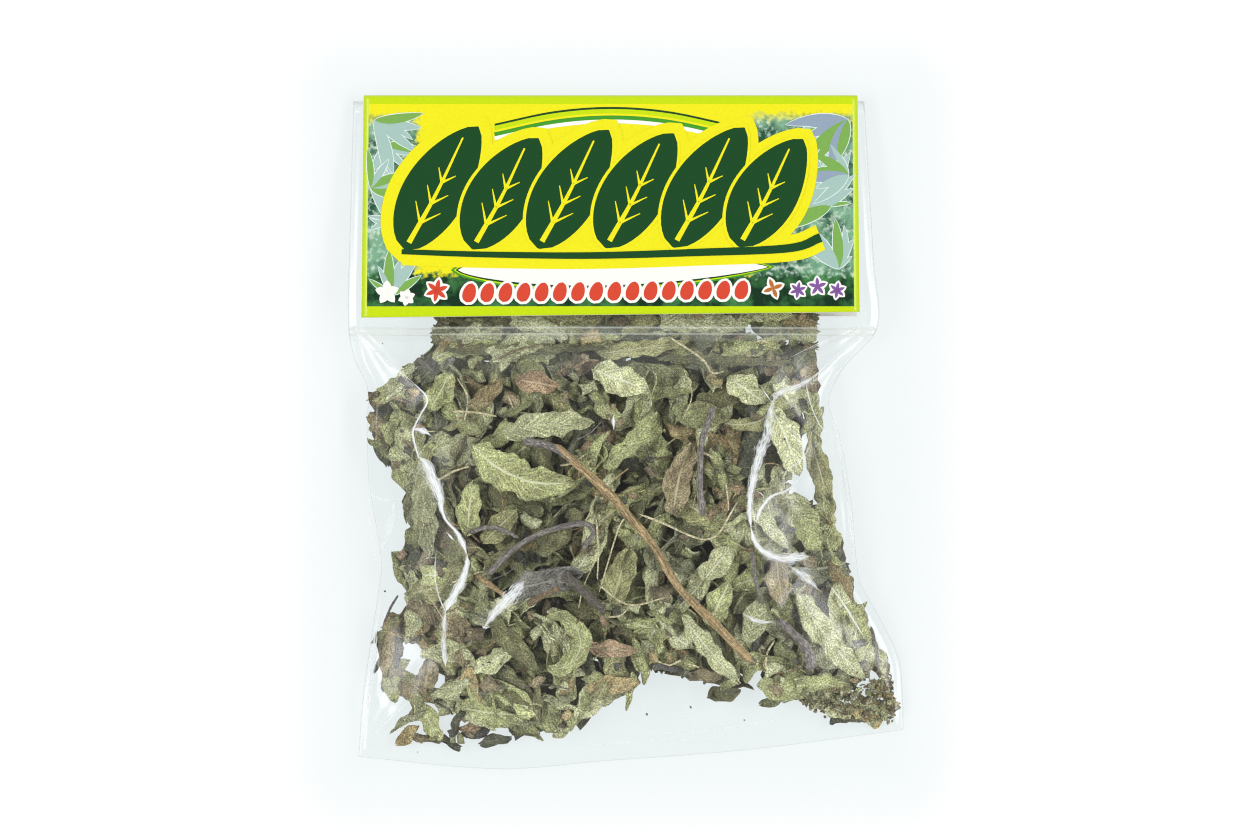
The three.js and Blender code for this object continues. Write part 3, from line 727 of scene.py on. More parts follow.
def outline_way(x, y):
    """The direction in degrees of the nearest part of the outline, or of a bare spot's rim."""
    bx, by, size = min(BARE, key=lambda spot: math.hypot(x - spot[0], y - spot[1]) - spot[2])
    if math.hypot(x - bx, y - by) - size < inside_mass(x, y):
        return math.degrees(math.atan2(y - by, x - bx)) + 90

    def from_middle(side):
        (ax, ay), (bx, by) = side
        return math.hypot(x - (ax + bx) / 2, y - (ay + by) / 2)

    (ax, ay), (bx, by) = min(zip(MASS, MASS[1:] + MASS[:1]), key=from_middle)
    return math.degrees(math.atan2(by - ay, bx - ax))


def clear_of_bare(x, y):
    return min(math.hypot(x - bx, y - by) - size for bx, by, size in BARE)


def scattered(step, draw):
    """Places in the heap, one in each square of a jittered grid, with their room to the outline."""
    for gx in np.arange(*HEAP_X, step):
        for gy in np.arange(*HEAP_Y, step):
            x, y = gx + draw.uniform(0, step), gy + draw.uniform(0, step)
            room = min(inside_mass(x, y), clear_of_bare(x, y))
            if room > LEAST_ROOM:
                yield x, y, room


print("heap's outline:", len(MASS), "points;", "bare spots:", len(BARE))


# %% Passes of the bed
HEAPS = {
    "upper_left": (-40, 11), "upper_middle": (-3, 11), "upper_right": (33, 11),
    "left": (-40, -24), "middle": (-3, -24), "right": (34, -24),
    "lower_left": (-37, -59), "lower_middle": (0, -59), "lower_right": (37, -59),
}
PRESSED_ABOVE_Y = 21.5  # the closure presses the leaves above this line flat and level
VALLEY_ABOVE_Y = 17.5  # and between the two lines the film dips, so nothing lies high
# Darker tones for the leaves in the valley and behind the closure: painted shade there.
SHADED_TONES = (0.8, 4, 6, 1.6, 0.2, 0, 0.2, 0)
# Each pass lays one tier of leaves: the grid's step, their lengths, the levels of their floors and
# how deep they may reach from there, their shades, how many faces each has, and how likely each
# tone is. The first two lie hidden below everything, and the last two lie behind the closure. The
# deeper tiers draw low shades and dark tones, as painted shade for the depths of the heap.
PASSES = [
    {
        "place": "bottom", "step": 7.0, "long": (16, 24), "floor": (0.3, 3), "deep": 4,
        "shade": (0, 0.2), "grid": (8, 4), "tones": (0, 2, 5, 6, 4, 0, 0, 2),
    },
    {
        "place": "bottom", "step": 7.2, "long": (14, 24), "floor": (4, 9), "deep": 6,
        "shade": (0, 0.35), "grid": (14, 6), "tones": (2, 5, 5, 4, 3, 0.6, 1, 1),
    },
    {
        "place": "heap", "step": 8.0, "long": (13, 25), "floor": (8, 12.5), "deep": 7,
        "shade": (0, 0.8), "grid": (24, 8), "tones": (5, 6, 4, 1.2, 1.2, 0.3, 0.8, 0.2),
    },
    {
        "place": "heap", "step": 8.0, "long": (9, 22), "floor": (12, 14.5), "deep": 5.5,
        "shade": (0.35, 1), "grid": (24, 8), "tones": (7, 6, 4, 0.3, 1, 0.3, 0.8, 0),
    },
    {
        "place": "closure", "step": 4.6, "long": (14, 26), "floor": (6, 12), "deep": 3,
        "shade": (0, 0.5), "grid": (20, 6), "tones": SHADED_TONES,
    },
    {
        "place": "closure", "step": 5.2, "long": (15, 26), "floor": (12, 17), "deep": 3,
        "shade": (0.1, 0.9), "grid": (26, 8), "tones": SHADED_TONES,
    },
]
print("passes:", len(PASSES))

# %% Rules for a leaf of the bed
MASS_HALF_WIDE = 54.5  # the heap's half width behind the closure
OPEN_FLOOR = 14  # a pass that may lie this high keeps clear of the large leaves


def nearest_heap(x, y):
    return min(HEAPS, key=lambda name: math.hypot(x - HEAPS[name][0], y - HEAPS[name][1]))


def under_large_leaf(x, y):
    """Whether x, y lies under one of the large leaves, which nothing else is to cover."""
    for listed in LEAVES.values():
        yaw = math.radians(listed["yaw"])
        dx, dy = x - listed["at"][0], y - listed["at"][1]
        far, off = dx * math.cos(yaw) + dy * math.sin(yaw), dy * math.cos(yaw) - dx * math.sin(yaw)
        if (far / (listed["long"] / 2 + 2)) ** 2 + (off / (listed["wide"] / 2 + 3)) ** 2 < 1:
            return True
    return False


def belongs(kind, x, y):
    """Whether this pass lays a leaf at x, y."""
    if kind["floor"][1] > OPEN_FLOOR and under_large_leaf(x, y):
        return False
    if kind["place"] == "closure":
        return y > PRESSED_ABOVE_Y
    return kind["place"] == "bottom" or y <= VALLEY_ABOVE_Y


def free_span(x, y):
    """From where to where a level leaf through x, y may reach between the bare spots beside it."""
    left, right = -MASS_HALF_WIDE, MASS_HALF_WIDE
    for bx, by, size in BARE:
        if abs(y - by) < size + 1.2:
            left, right = (left, min(right, bx - size)) if x < bx else (max(left, bx + size), right)
    return left, right


def tone_from(weights, draw, at=(0, 0)):
    """Draws the number of a tone, browner in the brown spots."""
    weights = np.array(weights, float)
    for bx, by, size, likelier in BROWN_SPOTS:
        if math.hypot(at[0] - bx, at[1] - by) < size:
            weights[[t for t in BROWN_TONES if t < len(weights)]] *= likelier
    return int(draw.choice(len(weights), p=weights / weights.sum()))


# %% The length of a leaf of the bed
RIM_DEEP = 5.5  # within this of the heap's outline, leaves lie along it
PAST_RIM, PAST_OTHERS = 9, 2  # mm that a leaf may be longer than its room: along the rim, and elsewhere
SHORTEST = 3


def fitted(kind, x, y, room, draw):
    """A length for a leaf at x, y, and the place itself, moved if need be to where it has room."""
    long = draw.uniform(*kind["long"])
    if kind["place"] == "closure":
        left, right = free_span(x, y)
        long = min(long, right - left)
        return long, np.clip(x, left + long / 2, right - long / 2), y
    along_rim = room < RIM_DEEP and clear_of_bare(x, y) >= inside_mass(x, y)
    return min(long, 2 * room + (PAST_RIM if along_rim else PAST_OTHERS)), x, y


print("along the rim within", RIM_DEEP, "mm")

# %% The form of a leaf of the bed
# A leaf longer than this that first draws a tone after dark draws anew, without the last three
# tones: a dried leaf that went brown or tan all over seldom stays whole.
WHOLE_ABOVE = 13
GREENER = 5
BLUNT = (0.15, 0.85)  # the part of a leaf left between two broken ends
ROLLS = [-230, -150, -80, 60, 110, 170, 240]


def bed_leaf(kind, x, y, long, tones, draw):
    """Draws the form of one leaf. The order of its lines is the order of the draws."""
    pressed = kind["place"] == "closure"
    cut = draw.uniform(0.1, 0.5) * draw.integers(0, 2)
    if kind["place"] != "bottom" and long > WHOLE_ABOVE and tone_from(tones, draw, (x, y)) > 3:
        tones = tones[:GREENER]
    leaf = LEAF | {
        "at": (x, y),
        "yaw": draw.normal(0, 9) if pressed else draw.uniform(0, 360),
        "long": long,
        "wide": min(long, 18) * (draw.uniform(0.25, 0.4) if pressed else draw.uniform(0.38, 0.62)),
        "bend": draw.normal(0, 48),
        "arch": draw.uniform(0.2, 3),
        "roll": 30 if pressed else draw.choice(ROLLS),
        "bank": 0 if pressed else draw.normal(0, 22),
        "twist": 0 if pressed else draw.normal(0, 55),
        "wave": draw.uniform(0.2, 1),
        "shade": draw.uniform(*kind["shade"]),
        "whole": BLUNT if pressed else [(cut, 1), (0, 1 - cut)][draw.integers(0, 2)],
    }
    return leaf, tones


def laid_along_rim(leaf, x, y, room, draw):
    leaf["yaw"] = outline_way(x, y) + draw.normal(0, 16)
    leaf["wide"] = min(leaf["wide"], 2 * room + 2)
    leaf["bend"] = draw.normal(0, 15)


print("kinds of roll:", len(ROLLS))

# %% Lay the bed
HIGHEST = 20  # the level that no leaf of the bed reaches past

bed = {name: new_sheet() for name in HEAPS}
laid = 0
for number, kind in enumerate(PASSES):
    draw = dice("bed", number)
    for x, y, room in scattered(kind["step"], draw):
        if not belongs(kind, x, y):
            continue
        if kind["place"] == "heap":
            room = min(room, VALLEY_ABOVE_Y - y + 2)
        long, x, y = fitted(kind, x, y, room, draw)
        if kind["place"] == "closure" and long < SHORTEST:
            continue
        # In the valley and behind the closure, darker tones paint its shade.
        tones = SHADED_TONES if y > VALLEY_ABOVE_Y else kind["tones"]
        leaf, tones = bed_leaf(kind, x, y, long, tones, draw)
        if room < RIM_DEEP and kind["place"] != "closure":
            laid_along_rim(leaf, x, y, room, draw)
        floor = draw.uniform(*kind["floor"])
        layer = (floor, min(floor + kind["deep"], HIGHEST))
        tone = tone_from(tones, draw, (x, y))
        lay_leaf(bed[nearest_heap(x, y)], leaf, *kind["grid"], draw, layer, tone)
        laid += 1
print("leaves in the bed:", laid)

# %% Strays, laid one by one
STRAY_LAYER = (1, 12)
STRAY_GRID = (20, 8)
STRAYS = [
    leaf_row((27.9, -75.5), 12, 9, 5, "olive"),
    leaf_row((-62, -87.5), 40, 8, 4, "tan"),
    leaf_row((-44, 20.6), 3, 18, 3.4, "olive", roll=40),
    leaf_row((-22, 20), -4, 22, 3, "olive", roll=40),
    leaf_row((24, 20.4), 2, 20, 3.6, "olive", roll=40),
    leaf_row((43, 20.8), 5, 20, 5, "green", roll=40),
    leaf_row((-37, -89), 10, 9, 3.6, "dark"),
    # These three draw shade 0: painted shade for the dark band under the closure's fold.
    leaf_row((-28, 22), 1, 44, 3, "olive", roll=40, level=(17, 20), shade=0),
    leaf_row((28, 18.8), -2, 38, 3, "olive", roll=40, level=(17, 20), shade=0),
    leaf_row((-40, 30), -3, 26, 3, "olive", roll=40, level=(14, 18), shade=0),
    leaf_row((18, 29.4), 14, 22, 4, "pale", roll=60, level=(14, 18)),
    leaf_row((-46, 24), -20, 14, 4, "green", roll=60, level=(14, 18)),
    leaf_row((-3.8, -62), -5, 14, 5, "rust", level=(16, 21), shade=0.8),
    leaf_row((-3.5, -72.5), 8, 15, 5.5, "tan", level=(16, 22), shade=0.7),
]

for number, listed in enumerate(STRAYS):
    x, y = listed["at"]
    tone = TONE_NAMES.index(listed["tone"])
    layer = listed.get("level", STRAY_LAYER)
    lay_leaf(bed[nearest_heap(x, y)], LEAF | listed, *STRAY_GRID, dice("strays", number), layer, tone)
print("strays:", len(STRAYS))

# %% [markdown]
# ## Broken bits and crumbs
#
# Handling breaks dried leaves, so the packet also holds flakes of a few millimetres, and the
# finest crumbs slide into its lower corner. Flakes are small warped scraps with torn edges, and
# crumbs are lumps of few faces, because there are hundreds of them.

# %% A flake
FLAKE_CORNERS = 8
FLAKE_GAP = 0.3  # mm left free above and below


def lay_flake(bm, x, y, size, layer, draw, finish, grid=(5, 4)):
    """Adds a scrap of leaf to bm: a small warped sheet torn to a different reach at each corner."""
    yaw, tilt = draw.uniform(0, 2 * np.pi), draw.uniform(-0.5, 0.5)
    torn = draw.uniform(0.55, 1.15, FLAKE_CORNERS)

    def shape(t, w):
        across_t = 2 * t - 1
        turn = np.arctan2(w, across_t)
        corner = (turn + np.pi) / (2 * np.pi) * FLAKE_CORNERS
        reach = np.interp(corner, range(FLAKE_CORNERS + 1), [*torn, torn[0]])
        fx, fy = across_t * reach * size / 2, w * reach * size / 3
        px = x + fx * np.cos(yaw) - fy * np.sin(yaw)
        py = y + fx * np.sin(yaw) + fy * np.cos(yaw)
        warp = 0.22 * size * (across_t**2 - w**2) * draw.uniform(0.3, 1)
        up = fx * tilt + warp + 0.15 * np.sin(fx * 3 + fy * 2)
        bottom, top = in_bag(px, py, layer[0]) + FLAKE_GAP, in_bag(px, py, layer[1]) - FLAKE_GAP
        deep = np.ptp(up)
        return px, py, bottom + (up - up.min()) * np.minimum(1, np.maximum(top - bottom, 0) / deep)

    lay_grid(bm, *grid, shape, shade=draw.uniform(), finish=finish)


# %% Scatter the flakes
FLAKE_STEP, TOP_FLAKE_STEP = 5.2, 3.9  # mm
FLAKE_TONES = (5, 6, 4, 2, 3, 1.4, 1.6, 0.8)
TOP_FLAKE_TONES = (4, 4, 4, 3, 4, 1.5, 3, 1)

draw = dice("flakes")
flakes = 0
for x, y, room in scattered(FLAKE_STEP, draw):
    floor = draw.uniform(6, 11 if under_large_leaf(x, y) else 18.5)
    size = min(draw.uniform(2, 7.5), 1.3 * room + 1)
    tone = tone_from(FLAKE_TONES, draw, (x, y))
    lay_flake(bed[nearest_heap(x, y)], x, y, size, (floor, floor + 3), draw, tone)
    flakes += 1
print("flakes:", flakes)

draw = dice("small flakes")
for x, y, room in scattered(TOP_FLAKE_STEP, draw):
    if under_large_leaf(x, y):
        continue
    floor, size = draw.uniform(11, 18), min(draw.uniform(1.2, 4.6), room + 1)
    tone = tone_from(TOP_FLAKE_TONES, draw)
    lay_flake(bed[nearest_heap(x, y)], x, y, size, (floor, floor + 2.5), draw, tone, (3, 3))
    flakes += 1
print("and small ones, in all:", flakes)

# %% The nine finished heaps
ALL_TONES = [LEAF_FINISHES[tone] for tone in TONE_NAMES]

for name, bm in bed.items():
    thicken(add_piece(f"bed_{name}", bm, ALL_TONES, [f"heap_{name}"]), LEAF_THICK)
print("heaps:", len(bed))

# %% A crumb
def lay_crumb(bm, x, y, size, height, draw, finish):
    """Adds a crumb to bm: a ball of twenty faces, squashed and dented."""
    grain = bm.verts.layers.float_vector["grain"]
    made = bmesh.ops.create_icosphere(bm, subdivisions=1, radius=0.5)["verts"]
    stretch = Vector(draw.uniform(0.4, 1, 3)) * size
    z = float(in_bag(x, y, height)) + size * 0.2
    centre = Vector((x, y, z)) + SHIFT
    turn = draw.uniform(0, 2 * np.pi)
    cos, sin = math.cos(turn), math.sin(turn)
    for v in made:
        p = Vector([c * s for c, s in zip(v.co, stretch)]) * draw.uniform(0.75, 1.2)
        v.co = (centre + Vector((p.x * cos - p.y * sin, p.x * sin + p.y * cos, p.z))) * MM
        v[grain] = (0.3, 0.5, draw.uniform())
        for face in v.link_faces:
            face.material_index = finish


# %% Where the crumbs lie
CORNER_CRUMBS = {"coarse": (230, 1.2, 2.8), "fine": (420, 0.5, 1.2)}  # how many, and their sizes in mm
CORNER_FLAKES = 60
CORNER_TONES = (5, 1, 3, 0.6, 2.5, 0.6, 8, 0)
LOOSE_CRUMBS = [
    (-59, -92.3), (-57.9, -89.7), (-36.4, -88), (6.1, -81.5), (18.5, -79.5), (33.8, -83.2),
    (76.6, -81.8), (-68.9, 23.8), (-68.1, -46.4),
]
LOOSE_LEVEL = 2
CRUMB_STEP = 9  # mm between those on the heap
CRUMB_TONES = (1, 2, 2, 2, 3, 1, 2, 0)


def corner_place(draw):
    """A place in the drift of crumbs, which is thickest at the bag's corner and thins inwards."""
    x = 76 - 26 * draw.uniform() ** 1.3
    half = 2.5 + 3.5 * ease((x - 50) / 18)
    return x, -77 + half * draw.uniform(-1, 1) + draw.normal(0, 0.5)


# %% Lay the crumbs
bm = new_sheet()
draw = dice("corner flakes")
for _ in range(CORNER_FLAKES):
    x, y = corner_place(draw)
    floor = draw.uniform(2, 17)
    tone = tone_from(CORNER_TONES, draw)
    lay_flake(bm, x, y, draw.uniform(1.8, 5), (floor, floor + 4), draw, tone, (4, 4))
draw = dice("crumbs")
for count, least, most in CORNER_CRUMBS.values():
    for _ in range(count):
        x, y = corner_place(draw)
        tone = tone_from(CORNER_TONES, draw)
        lay_crumb(bm, x, y, draw.uniform(least, most), draw.uniform(1, 20), draw, tone)
for x, y in LOOSE_CRUMBS:
    lay_crumb(bm, x, y, draw.uniform(0.7, 1.4), LOOSE_LEVEL, draw, TONE_NAMES.index("brown"))
for x, y, room in scattered(CRUMB_STEP, draw):
    size, height = draw.uniform(0.6, 1.6), draw.uniform(12, 21)
    lay_crumb(bm, x, y, size, height, draw, tone_from(CRUMB_TONES, draw))
print("crumb faces:", len(bm.faces))
add_piece("crumbs", bm, ALL_TONES)

# %% [markdown]
# ## Stems and stalks
#
# Sage stems are square and grooved, and dry to tan wood or dull mauve. Each is a grid wrapped
# round a line. Leaf stalks are the same at a tenth of the size, and pale as straw.

# %% Finish: dried stem
STEM_TONES = {
    "tan": ("bea478", "74603f"),
    "grey": ("8f8882", "514b48"),
    "dark": ("6e665a", "3c3731"),
    "brown": ("8c7a5a", "4f4331"),
    "straw": ("dcd5b2", "b0a47a"),
}
FIBRES = (9.0, 7.0, 1.0)  # along a stem, round it, and no change to its shade
BARK_SPECKS_PER_MM = 1.5


def stem_finish(tone):
    face, groove = [linear(c) for c in STEM_TONES[tone]]
    tree = new_finish(f"dried stem, {tone}")
    grain = node(tree, "Attribute", attribute_name="grain", out="Vector")
    place = node(tree, "TexCoord", out="Object")
    fibre = node(tree, "VectorMath", grain, FIBRES, operation="MULTIPLY")
    streaks = node(tree, "TexNoise", Vector=fibre, Scale=1.6, Detail=5.0, Roughness=0.65)
    speck = node(tree, "TexNoise", Vector=place, Scale=BARK_SPECKS_PER_MM / MM, Detail=3.0)
    share = node(tree, "MapRange", streaks, 0.42, 0.58)
    wood = node(tree, "Mix", share, data_type="RGBA", _6=groove, _7=face, out=2)
    grit = node(tree, "MapRange", speck, 0.38, 0.62, 0.6, 1.3)
    colour = node(tree, "VectorMath", wood, operation="SCALE", Scale=grit)
    relief = node(tree, "Math", share, speck, operation="ADD")
    bump = node(tree, "Bump", Strength=0.6, Distance=0.15 * MM, Height=relief)
    bark = node(tree, "BsdfPrincipled", Base_Color=colour, Roughness=0.7, Normal=bump)
    node(tree, "OutputMaterial", bark, out=None)
    return bpy.data.materials[f"dried stem, {tone}"]


STEM_FINISHES = {tone: stem_finish(tone) for tone in STEM_TONES}
print("stem finishes:", len(STEM_FINISHES))

# %% The stems, one by one
# Each stem's line in plan, its thickness in mm at both ends, and its tone.
STEMS = {
    "long": {
        "via": [
            (-20, -4.5), (-5.8, -17), (1.3, -25.2), (8.1, -33.1), (15.1, -44.7), (24.8, -54.6),
            (35.5, -65.7),
        ],
        "ends": (2.1, 2.1), "tone": "tan",
    },
    "mauve_upper": {
        "via": [
            (24.6, 6), (21.4, -3.7), (20.6, -13.6), (21.4, -24.6),
        ],
        "ends": (1.5, 1.7), "tone": "grey",
    },
    "mauve_lower": {
        "via": [
            (42.6, -54), (47.4, -58), (51, -62.6), (52.6, -68),
        ],
        "ends": (1.9, 3), "tone": "grey",
    },
    "dark": {"via": [(-17.4, -40.5), (-12, -45), (-5.5, -51.5)], "ends": (2.6, 2), "tone": "dark"},
    "bowed": {
        "via": [
            (-38.3, -41), (-31.5, -34.2), (-23.6, -29.4), (-12.3, -26.6), (-9, -29), (-11.7, -33.7),
        ],
        "ends": (1.6, 1.3), "tone": "grey",
    },
    "pale_stick": {"via": [(-41.6, -41.2), (-37.5, -44), (-33, -47.2)], "ends": (1.5, 1.2), "tone": "tan"},
    "paired": {"via": [(-27.2, -49), (-22.6, -46.6), (-18, -44.4)], "ends": (1.8, 1.4), "tone": "brown"},
}

STEMS_UP_TO = 22.8  # the level of a stem's top
STEM_STEPS, STEM_SIDES = 60, 20
STEM_SQUARE = 0.09  # how far its four corners stand out, as a part of its radius
STEM_SWAY, STEM_BENDS = 0.25, 14  # mm, and radians of sway along it

for name, listed in STEMS.items():
    steps = np.diff(route(listed["via"], STEM_STEPS), axis=0)
    print(name, "stem:", round(float(np.hypot(*steps.T).sum())), "mm")

# %% A tube round a line
def lay_tube(bm, line, radii, sides, draw, square=0.0):
    """Wraps a grid round line. Its ends are drawn to a blunt tip, and its two long edges merge."""
    steps = len(line) - 1
    ahead = np.gradient(line, axis=0)
    ahead /= np.linalg.norm(ahead, axis=1)[:, None]
    beside = np.cross(ahead, (0, 0, 1.0))
    beside /= np.linalg.norm(beside, axis=1)[:, None]
    above = np.cross(beside, ahead)
    far = np.linspace(0, 1, steps + 1)
    knots = 1 + 0.08 * np.sin(9 * far + draw.uniform(0, 6)) + 0.07 * np.sin(31 * far + draw.uniform(0, 6))

    def shape(t, w):
        i = np.rint(t * steps).astype(int)
        turn = np.pi * w
        tip = np.where((i == 0) | (i == steps), 0.02, 1)
        size = radii[i] * knots[i] * tip * (1 + square * np.cos(4 * turn))
        ring = beside[i] * (np.cos(turn) * size)[:, None] + above[i] * (np.sin(turn) * size)[:, None]
        p = line[i] + ring
        return p[:, 0], p[:, 1], p[:, 2]

    made = lay_grid(bm, steps, sides, shape, shade=draw.uniform())
    bmesh.ops.remove_doubles(bm, verts=made, dist=0.004 * MM)


def stem_line(via, ends, level, steps):
    """A stem's line in space and its radii, for its thickness at both ends and its top's level."""
    flat = route(via, steps)
    radii = np.linspace(*ends, steps + 1) / 2
    height = in_bag(flat[:, 0], flat[:, 1], level) - radii
    return np.column_stack([flat, height]), radii


# %% Lay the stems
for number, (name, listed) in enumerate(STEMS.items()):
    draw = dice("stems", number)
    line, radii = stem_line(listed["via"], listed["ends"], STEMS_UP_TO, STEM_STEPS)
    sway = STEM_SWAY * np.sin(np.linspace(0, STEM_BENDS, STEM_STEPS + 1))
    line[:, :2] += sway[:, None] * draw.uniform(-1, 1, 2)
    bm = new_sheet()
    lay_tube(bm, line, radii, STEM_SIDES, draw, square=STEM_SQUARE)
    tone = listed["tone"]
    add_piece(f"{name}_stem", bm, [STEM_FINISHES[tone]], [f"stem_{name}"])
print("stems:", len(STEMS))

# %% Thin stalks and stray twigs
def stalk_row(thick, tone, *via, level=STEMS_UP_TO):
    return {"via": via, "thick": thick, "tone": tone, "level": level}


STALKS = [
    stalk_row(0.6, "straw", (-8.1, -25.2), (-7.5, -33.7), (-7.8, -42.4)),
    stalk_row(0.6, "straw", (-7.5, -43.6), (1, -49.2), (11.7, -47)),
    stalk_row(0.5, "straw", (-0.4, -25.2), (-2.4, -29.4), (-7.5, -46.4)),
    stalk_row(
        0.7, "straw",
        (3.3, -23.8), (10.6, -26.6), (18, -30), (22.2, -31.1), (25.9, -29.4), (29.3, -23.8), (31.6, -20.1),
    ),
    stalk_row(0.7, "straw", (11.7, 25.8), (21.4, 19.2), (24.2, 15.3), (27.9, 15.8)),
    stalk_row(0.5, "straw", (27.9, -15.3), (28.4, -19), (28.7, -23.2)),
    stalk_row(0.7, "straw", (-48.5, 4.5), (-42, 4.2), (-35.8, 3.1)),
    stalk_row(1.2, "grey", (35.2, -34.2), (36.4, -43), (38.6, -49.8)),
    stalk_row(1.5, "grey", (-44, -29.4), (-36.9, -27.7), (-29.6, -30.6)),
    stalk_row(2.6, "grey", (-28.5, -3.8), (-23.4, -4.6), (-18.6, -6.2), (-14.4, -9.6)),
    stalk_row(1.5, "dark", (-58.4, 19.2), (-56, 17.4), (-53.6, 15.3)),
    stalk_row(2.0, "dark", (-64.1, 13.9), (-62, 12.7), (-59.9, 11.9)),
    stalk_row(0.8, "dark", (-68.3, -55.5), (-66.4, -51), (-64.1, -47.3)),
    stalk_row(1.0, "dark", (69.5, -56.3), (71.2, -63.4), (71.7, -70.5)),
]

TWIG_STEP = 13  # mm
TWIG_TONES = ["straw", "straw", "brown", "grey", "tan"]

draw = dice("twigs")
for x, y, room in scattered(TWIG_STEP, draw):
    long, turn, bow = min(draw.uniform(4, 15), 2 * room), draw.uniform(0, np.pi), draw.normal(0, 1.2)
    dx, dy = long / 2 * math.cos(turn), long / 2 * math.sin(turn)
    middle = (x - bow * math.sin(turn), y + bow * math.cos(turn))
    tone, thick, level = draw.choice(TWIG_TONES), draw.uniform(0.3, 0.8), draw.uniform(14, 21)
    STALKS.append(stalk_row(thick, tone, (x - dx, y - dy), middle, (x + dx, y + dy), level=level))

# %% Lay the stalks, one piece for each tone
STALK_STEPS, STALK_SIDES = 16, 6
STALK_TAPER = 0.7

for tone in STEM_TONES:
    bm = new_sheet()
    draw = dice("stalks")
    chosen = [stalk for stalk in STALKS if stalk["tone"] == tone]
    for stalk in chosen:
        ends = (stalk["thick"], stalk["thick"] * STALK_TAPER)
        line, radii = stem_line(stalk["via"], ends, stalk["level"], STALK_STEPS)
        lay_tube(bm, line, radii, STALK_SIDES, draw)
    if chosen:
        add_piece(f"stalks_{tone}", bm, [STEM_FINISHES[tone]])
print("stalks:", len(STALKS))

# %% [markdown]
# ## The film
#
# The bag is polypropylene film, 0.05 mm thick: clear, glossy, and stiff enough to crease sharply.
# It is modelled as a pouch of one closed skin. Cloth simulation would crumple it somewhere, but
# not where a real packet creases: along the shoulders where the film falls from the filling to
# the seams, and in fans below the card's corners. So the folds are drawn as lines, and the film
# rises to each of them with a narrow rounded crest.

# %% The folds
# Each fold: its line, how high and how far it lifts the film, and how round its crest is, in mm.
FOLDS = [
    {
        "via": [
            (-78.8, 28), (-69.8, 20.9), (-59.6, 12.7), (-55.3, 8.2), (-57.3, 3.1), (-59.3, -3.4), (-58.4, -8),
        ],
        "high": 1.0, "spread": 3.5, "round": (0.8, 0.8, 1),
    },
    {
        "via": [
            (-59.3, -3.4), (-55.6, -13.9), (-51.1, -21.8), (-46.3, -30), (-44, -35.1), (-44.6, -41),
            (-47.7, -46.1), (-50.5, -52.1), (-50.8, -58.9), (-51.4, -66.5),
        ],
        "high": 2.4, "spread": 7, "round": (1.2, 2.2, 2.4, 1.4, 1.4, 1.4, 2, 1.8, 1.4),
    },
    {
        "via": [(71.2, 28), (61.8, 20.9), (53.1, 13.6), (42, 9.6), (40.3, 3.4), (38.6, -4.8)],
        "high": 0.5, "spread": 2.6, "round": (0.8, 0.8, 1.5),
    },
    {
        "via": [
            (40.3, 3.4), (38.6, -4.8), (34.7, -13.6), (34.4, -19.8), (35.2, -26.6), (36.4, -33.7),
            (40.3, -35.9), (50.2, -35.1), (55, -42),
        ],
        "high": 2.2, "spread": 6, "round": (2.4, 2.6, 2.2, 1.4, 1.2, 1.2, 1.4, 1.8),
    },
    {
        "via": [(-40.6, -56.6), (-31.6, -46.7), (-27.3, -40.5)],
        "high": 1.2, "spread": 3.5, "round": (1.5, 2.5, 1.4),
    },
    {"via": [(-3.3, 5), (-3.3, 2.3), (-3.2, 0)], "high": 0.8, "spread": 2.2, "round": (0.8, 0.8)},
    {
        "via": [(-75.4, -91), (-48.2, -89.5), (-20.8, -86.3), (3.8, -82.9)],
        "high": 0.5, "spread": 1.6, "round": (0.4, 0.4),
    },
    {"via": [(29.3, -83.8), (40, -85.6), (50, -85.2)], "high": 0.4, "spread": 1.4, "round": (0.4, 0.4)},
]
FAN_ROOTS = [(-77, 30), (70, 30), (-76, -92), (78, -84)]  # the corners that fans of wrinkles leave
print("folds:", len(FOLDS))

# %% Rules for the folds
FOLD_STEPS = 24


def beside_route(x, y, line):
    """Each point's distance in mm from a line, and how far along it the nearest place is."""
    nearest, where = np.full(x.shape, FAR), np.zeros(x.shape)
    for k in range(len(line) - 1):
        (ax, ay), (bx, by) = line[k], line[k + 1]
        square = (bx - ax) ** 2 + (by - ay) ** 2
        t = np.clip(((x - ax) * (bx - ax) + (y - ay) * (by - ay)) / square, 0, 1)
        gap = np.hypot(x - mix(ax, bx, t), y - mix(ay, by, t))
        where = np.where(gap < nearest, (k + t) / (len(line) - 1), where)
        nearest = np.minimum(gap, nearest)
    return nearest, where


def along_fold(values, where):
    return np.interp(where, np.linspace(0, 1, len(values)), values)


def folded(x, y):
    """How high the folds lift the film at x, y."""
    lifted = np.zeros(x.shape)
    for fold in FOLDS:
        gap, where = beside_route(x, y, route(fold["via"], FOLD_STEPS))
        soft = along_fold(fold["round"], where)
        crest = np.sqrt(gap**2 + soft**2) - soft
        taper = np.minimum(1, 5 * np.minimum(where, 1 - where) + 0.15)
        lifted = lifted + fold["high"] * taper * np.exp(-crest / fold["spread"])
    return lifted


def waviness(x, y):
    """Slow swells, fans of fine wrinkles from the corners, and a fine crumple all over."""
    swell = 0.3 * np.sin(x / 5.3 + 1.3 * np.sin(y / 9)) * np.sin(y / 7.1 + 0.8 * np.sin(x / 11))
    fans = np.zeros(x.shape)
    for fx, fy in FAN_ROOTS:
        away, turn = np.hypot(x - fx, y - fy), np.arctan2(y - fy, x - fx)
        coarse, fine = np.sin(turn * 19 + 2 * np.sin(turn * 7)), np.sin(turn * 46 + 3 * np.sin(turn * 11))
        fans = fans + (0.12 * coarse + 0.05 * fine) * ease(away / 6) * ease((24 - away) / 14)
    crumple = 0.09 * np.sin(x / 1.7 + 2 * np.sin(y / 4.1)) * np.sin(y / 2.3 + 1.5 * np.sin(x / 3.7))
    return swell + fans + crumple


print("finest crumple of the film:", round(2 * math.pi * 1.7), "mm")

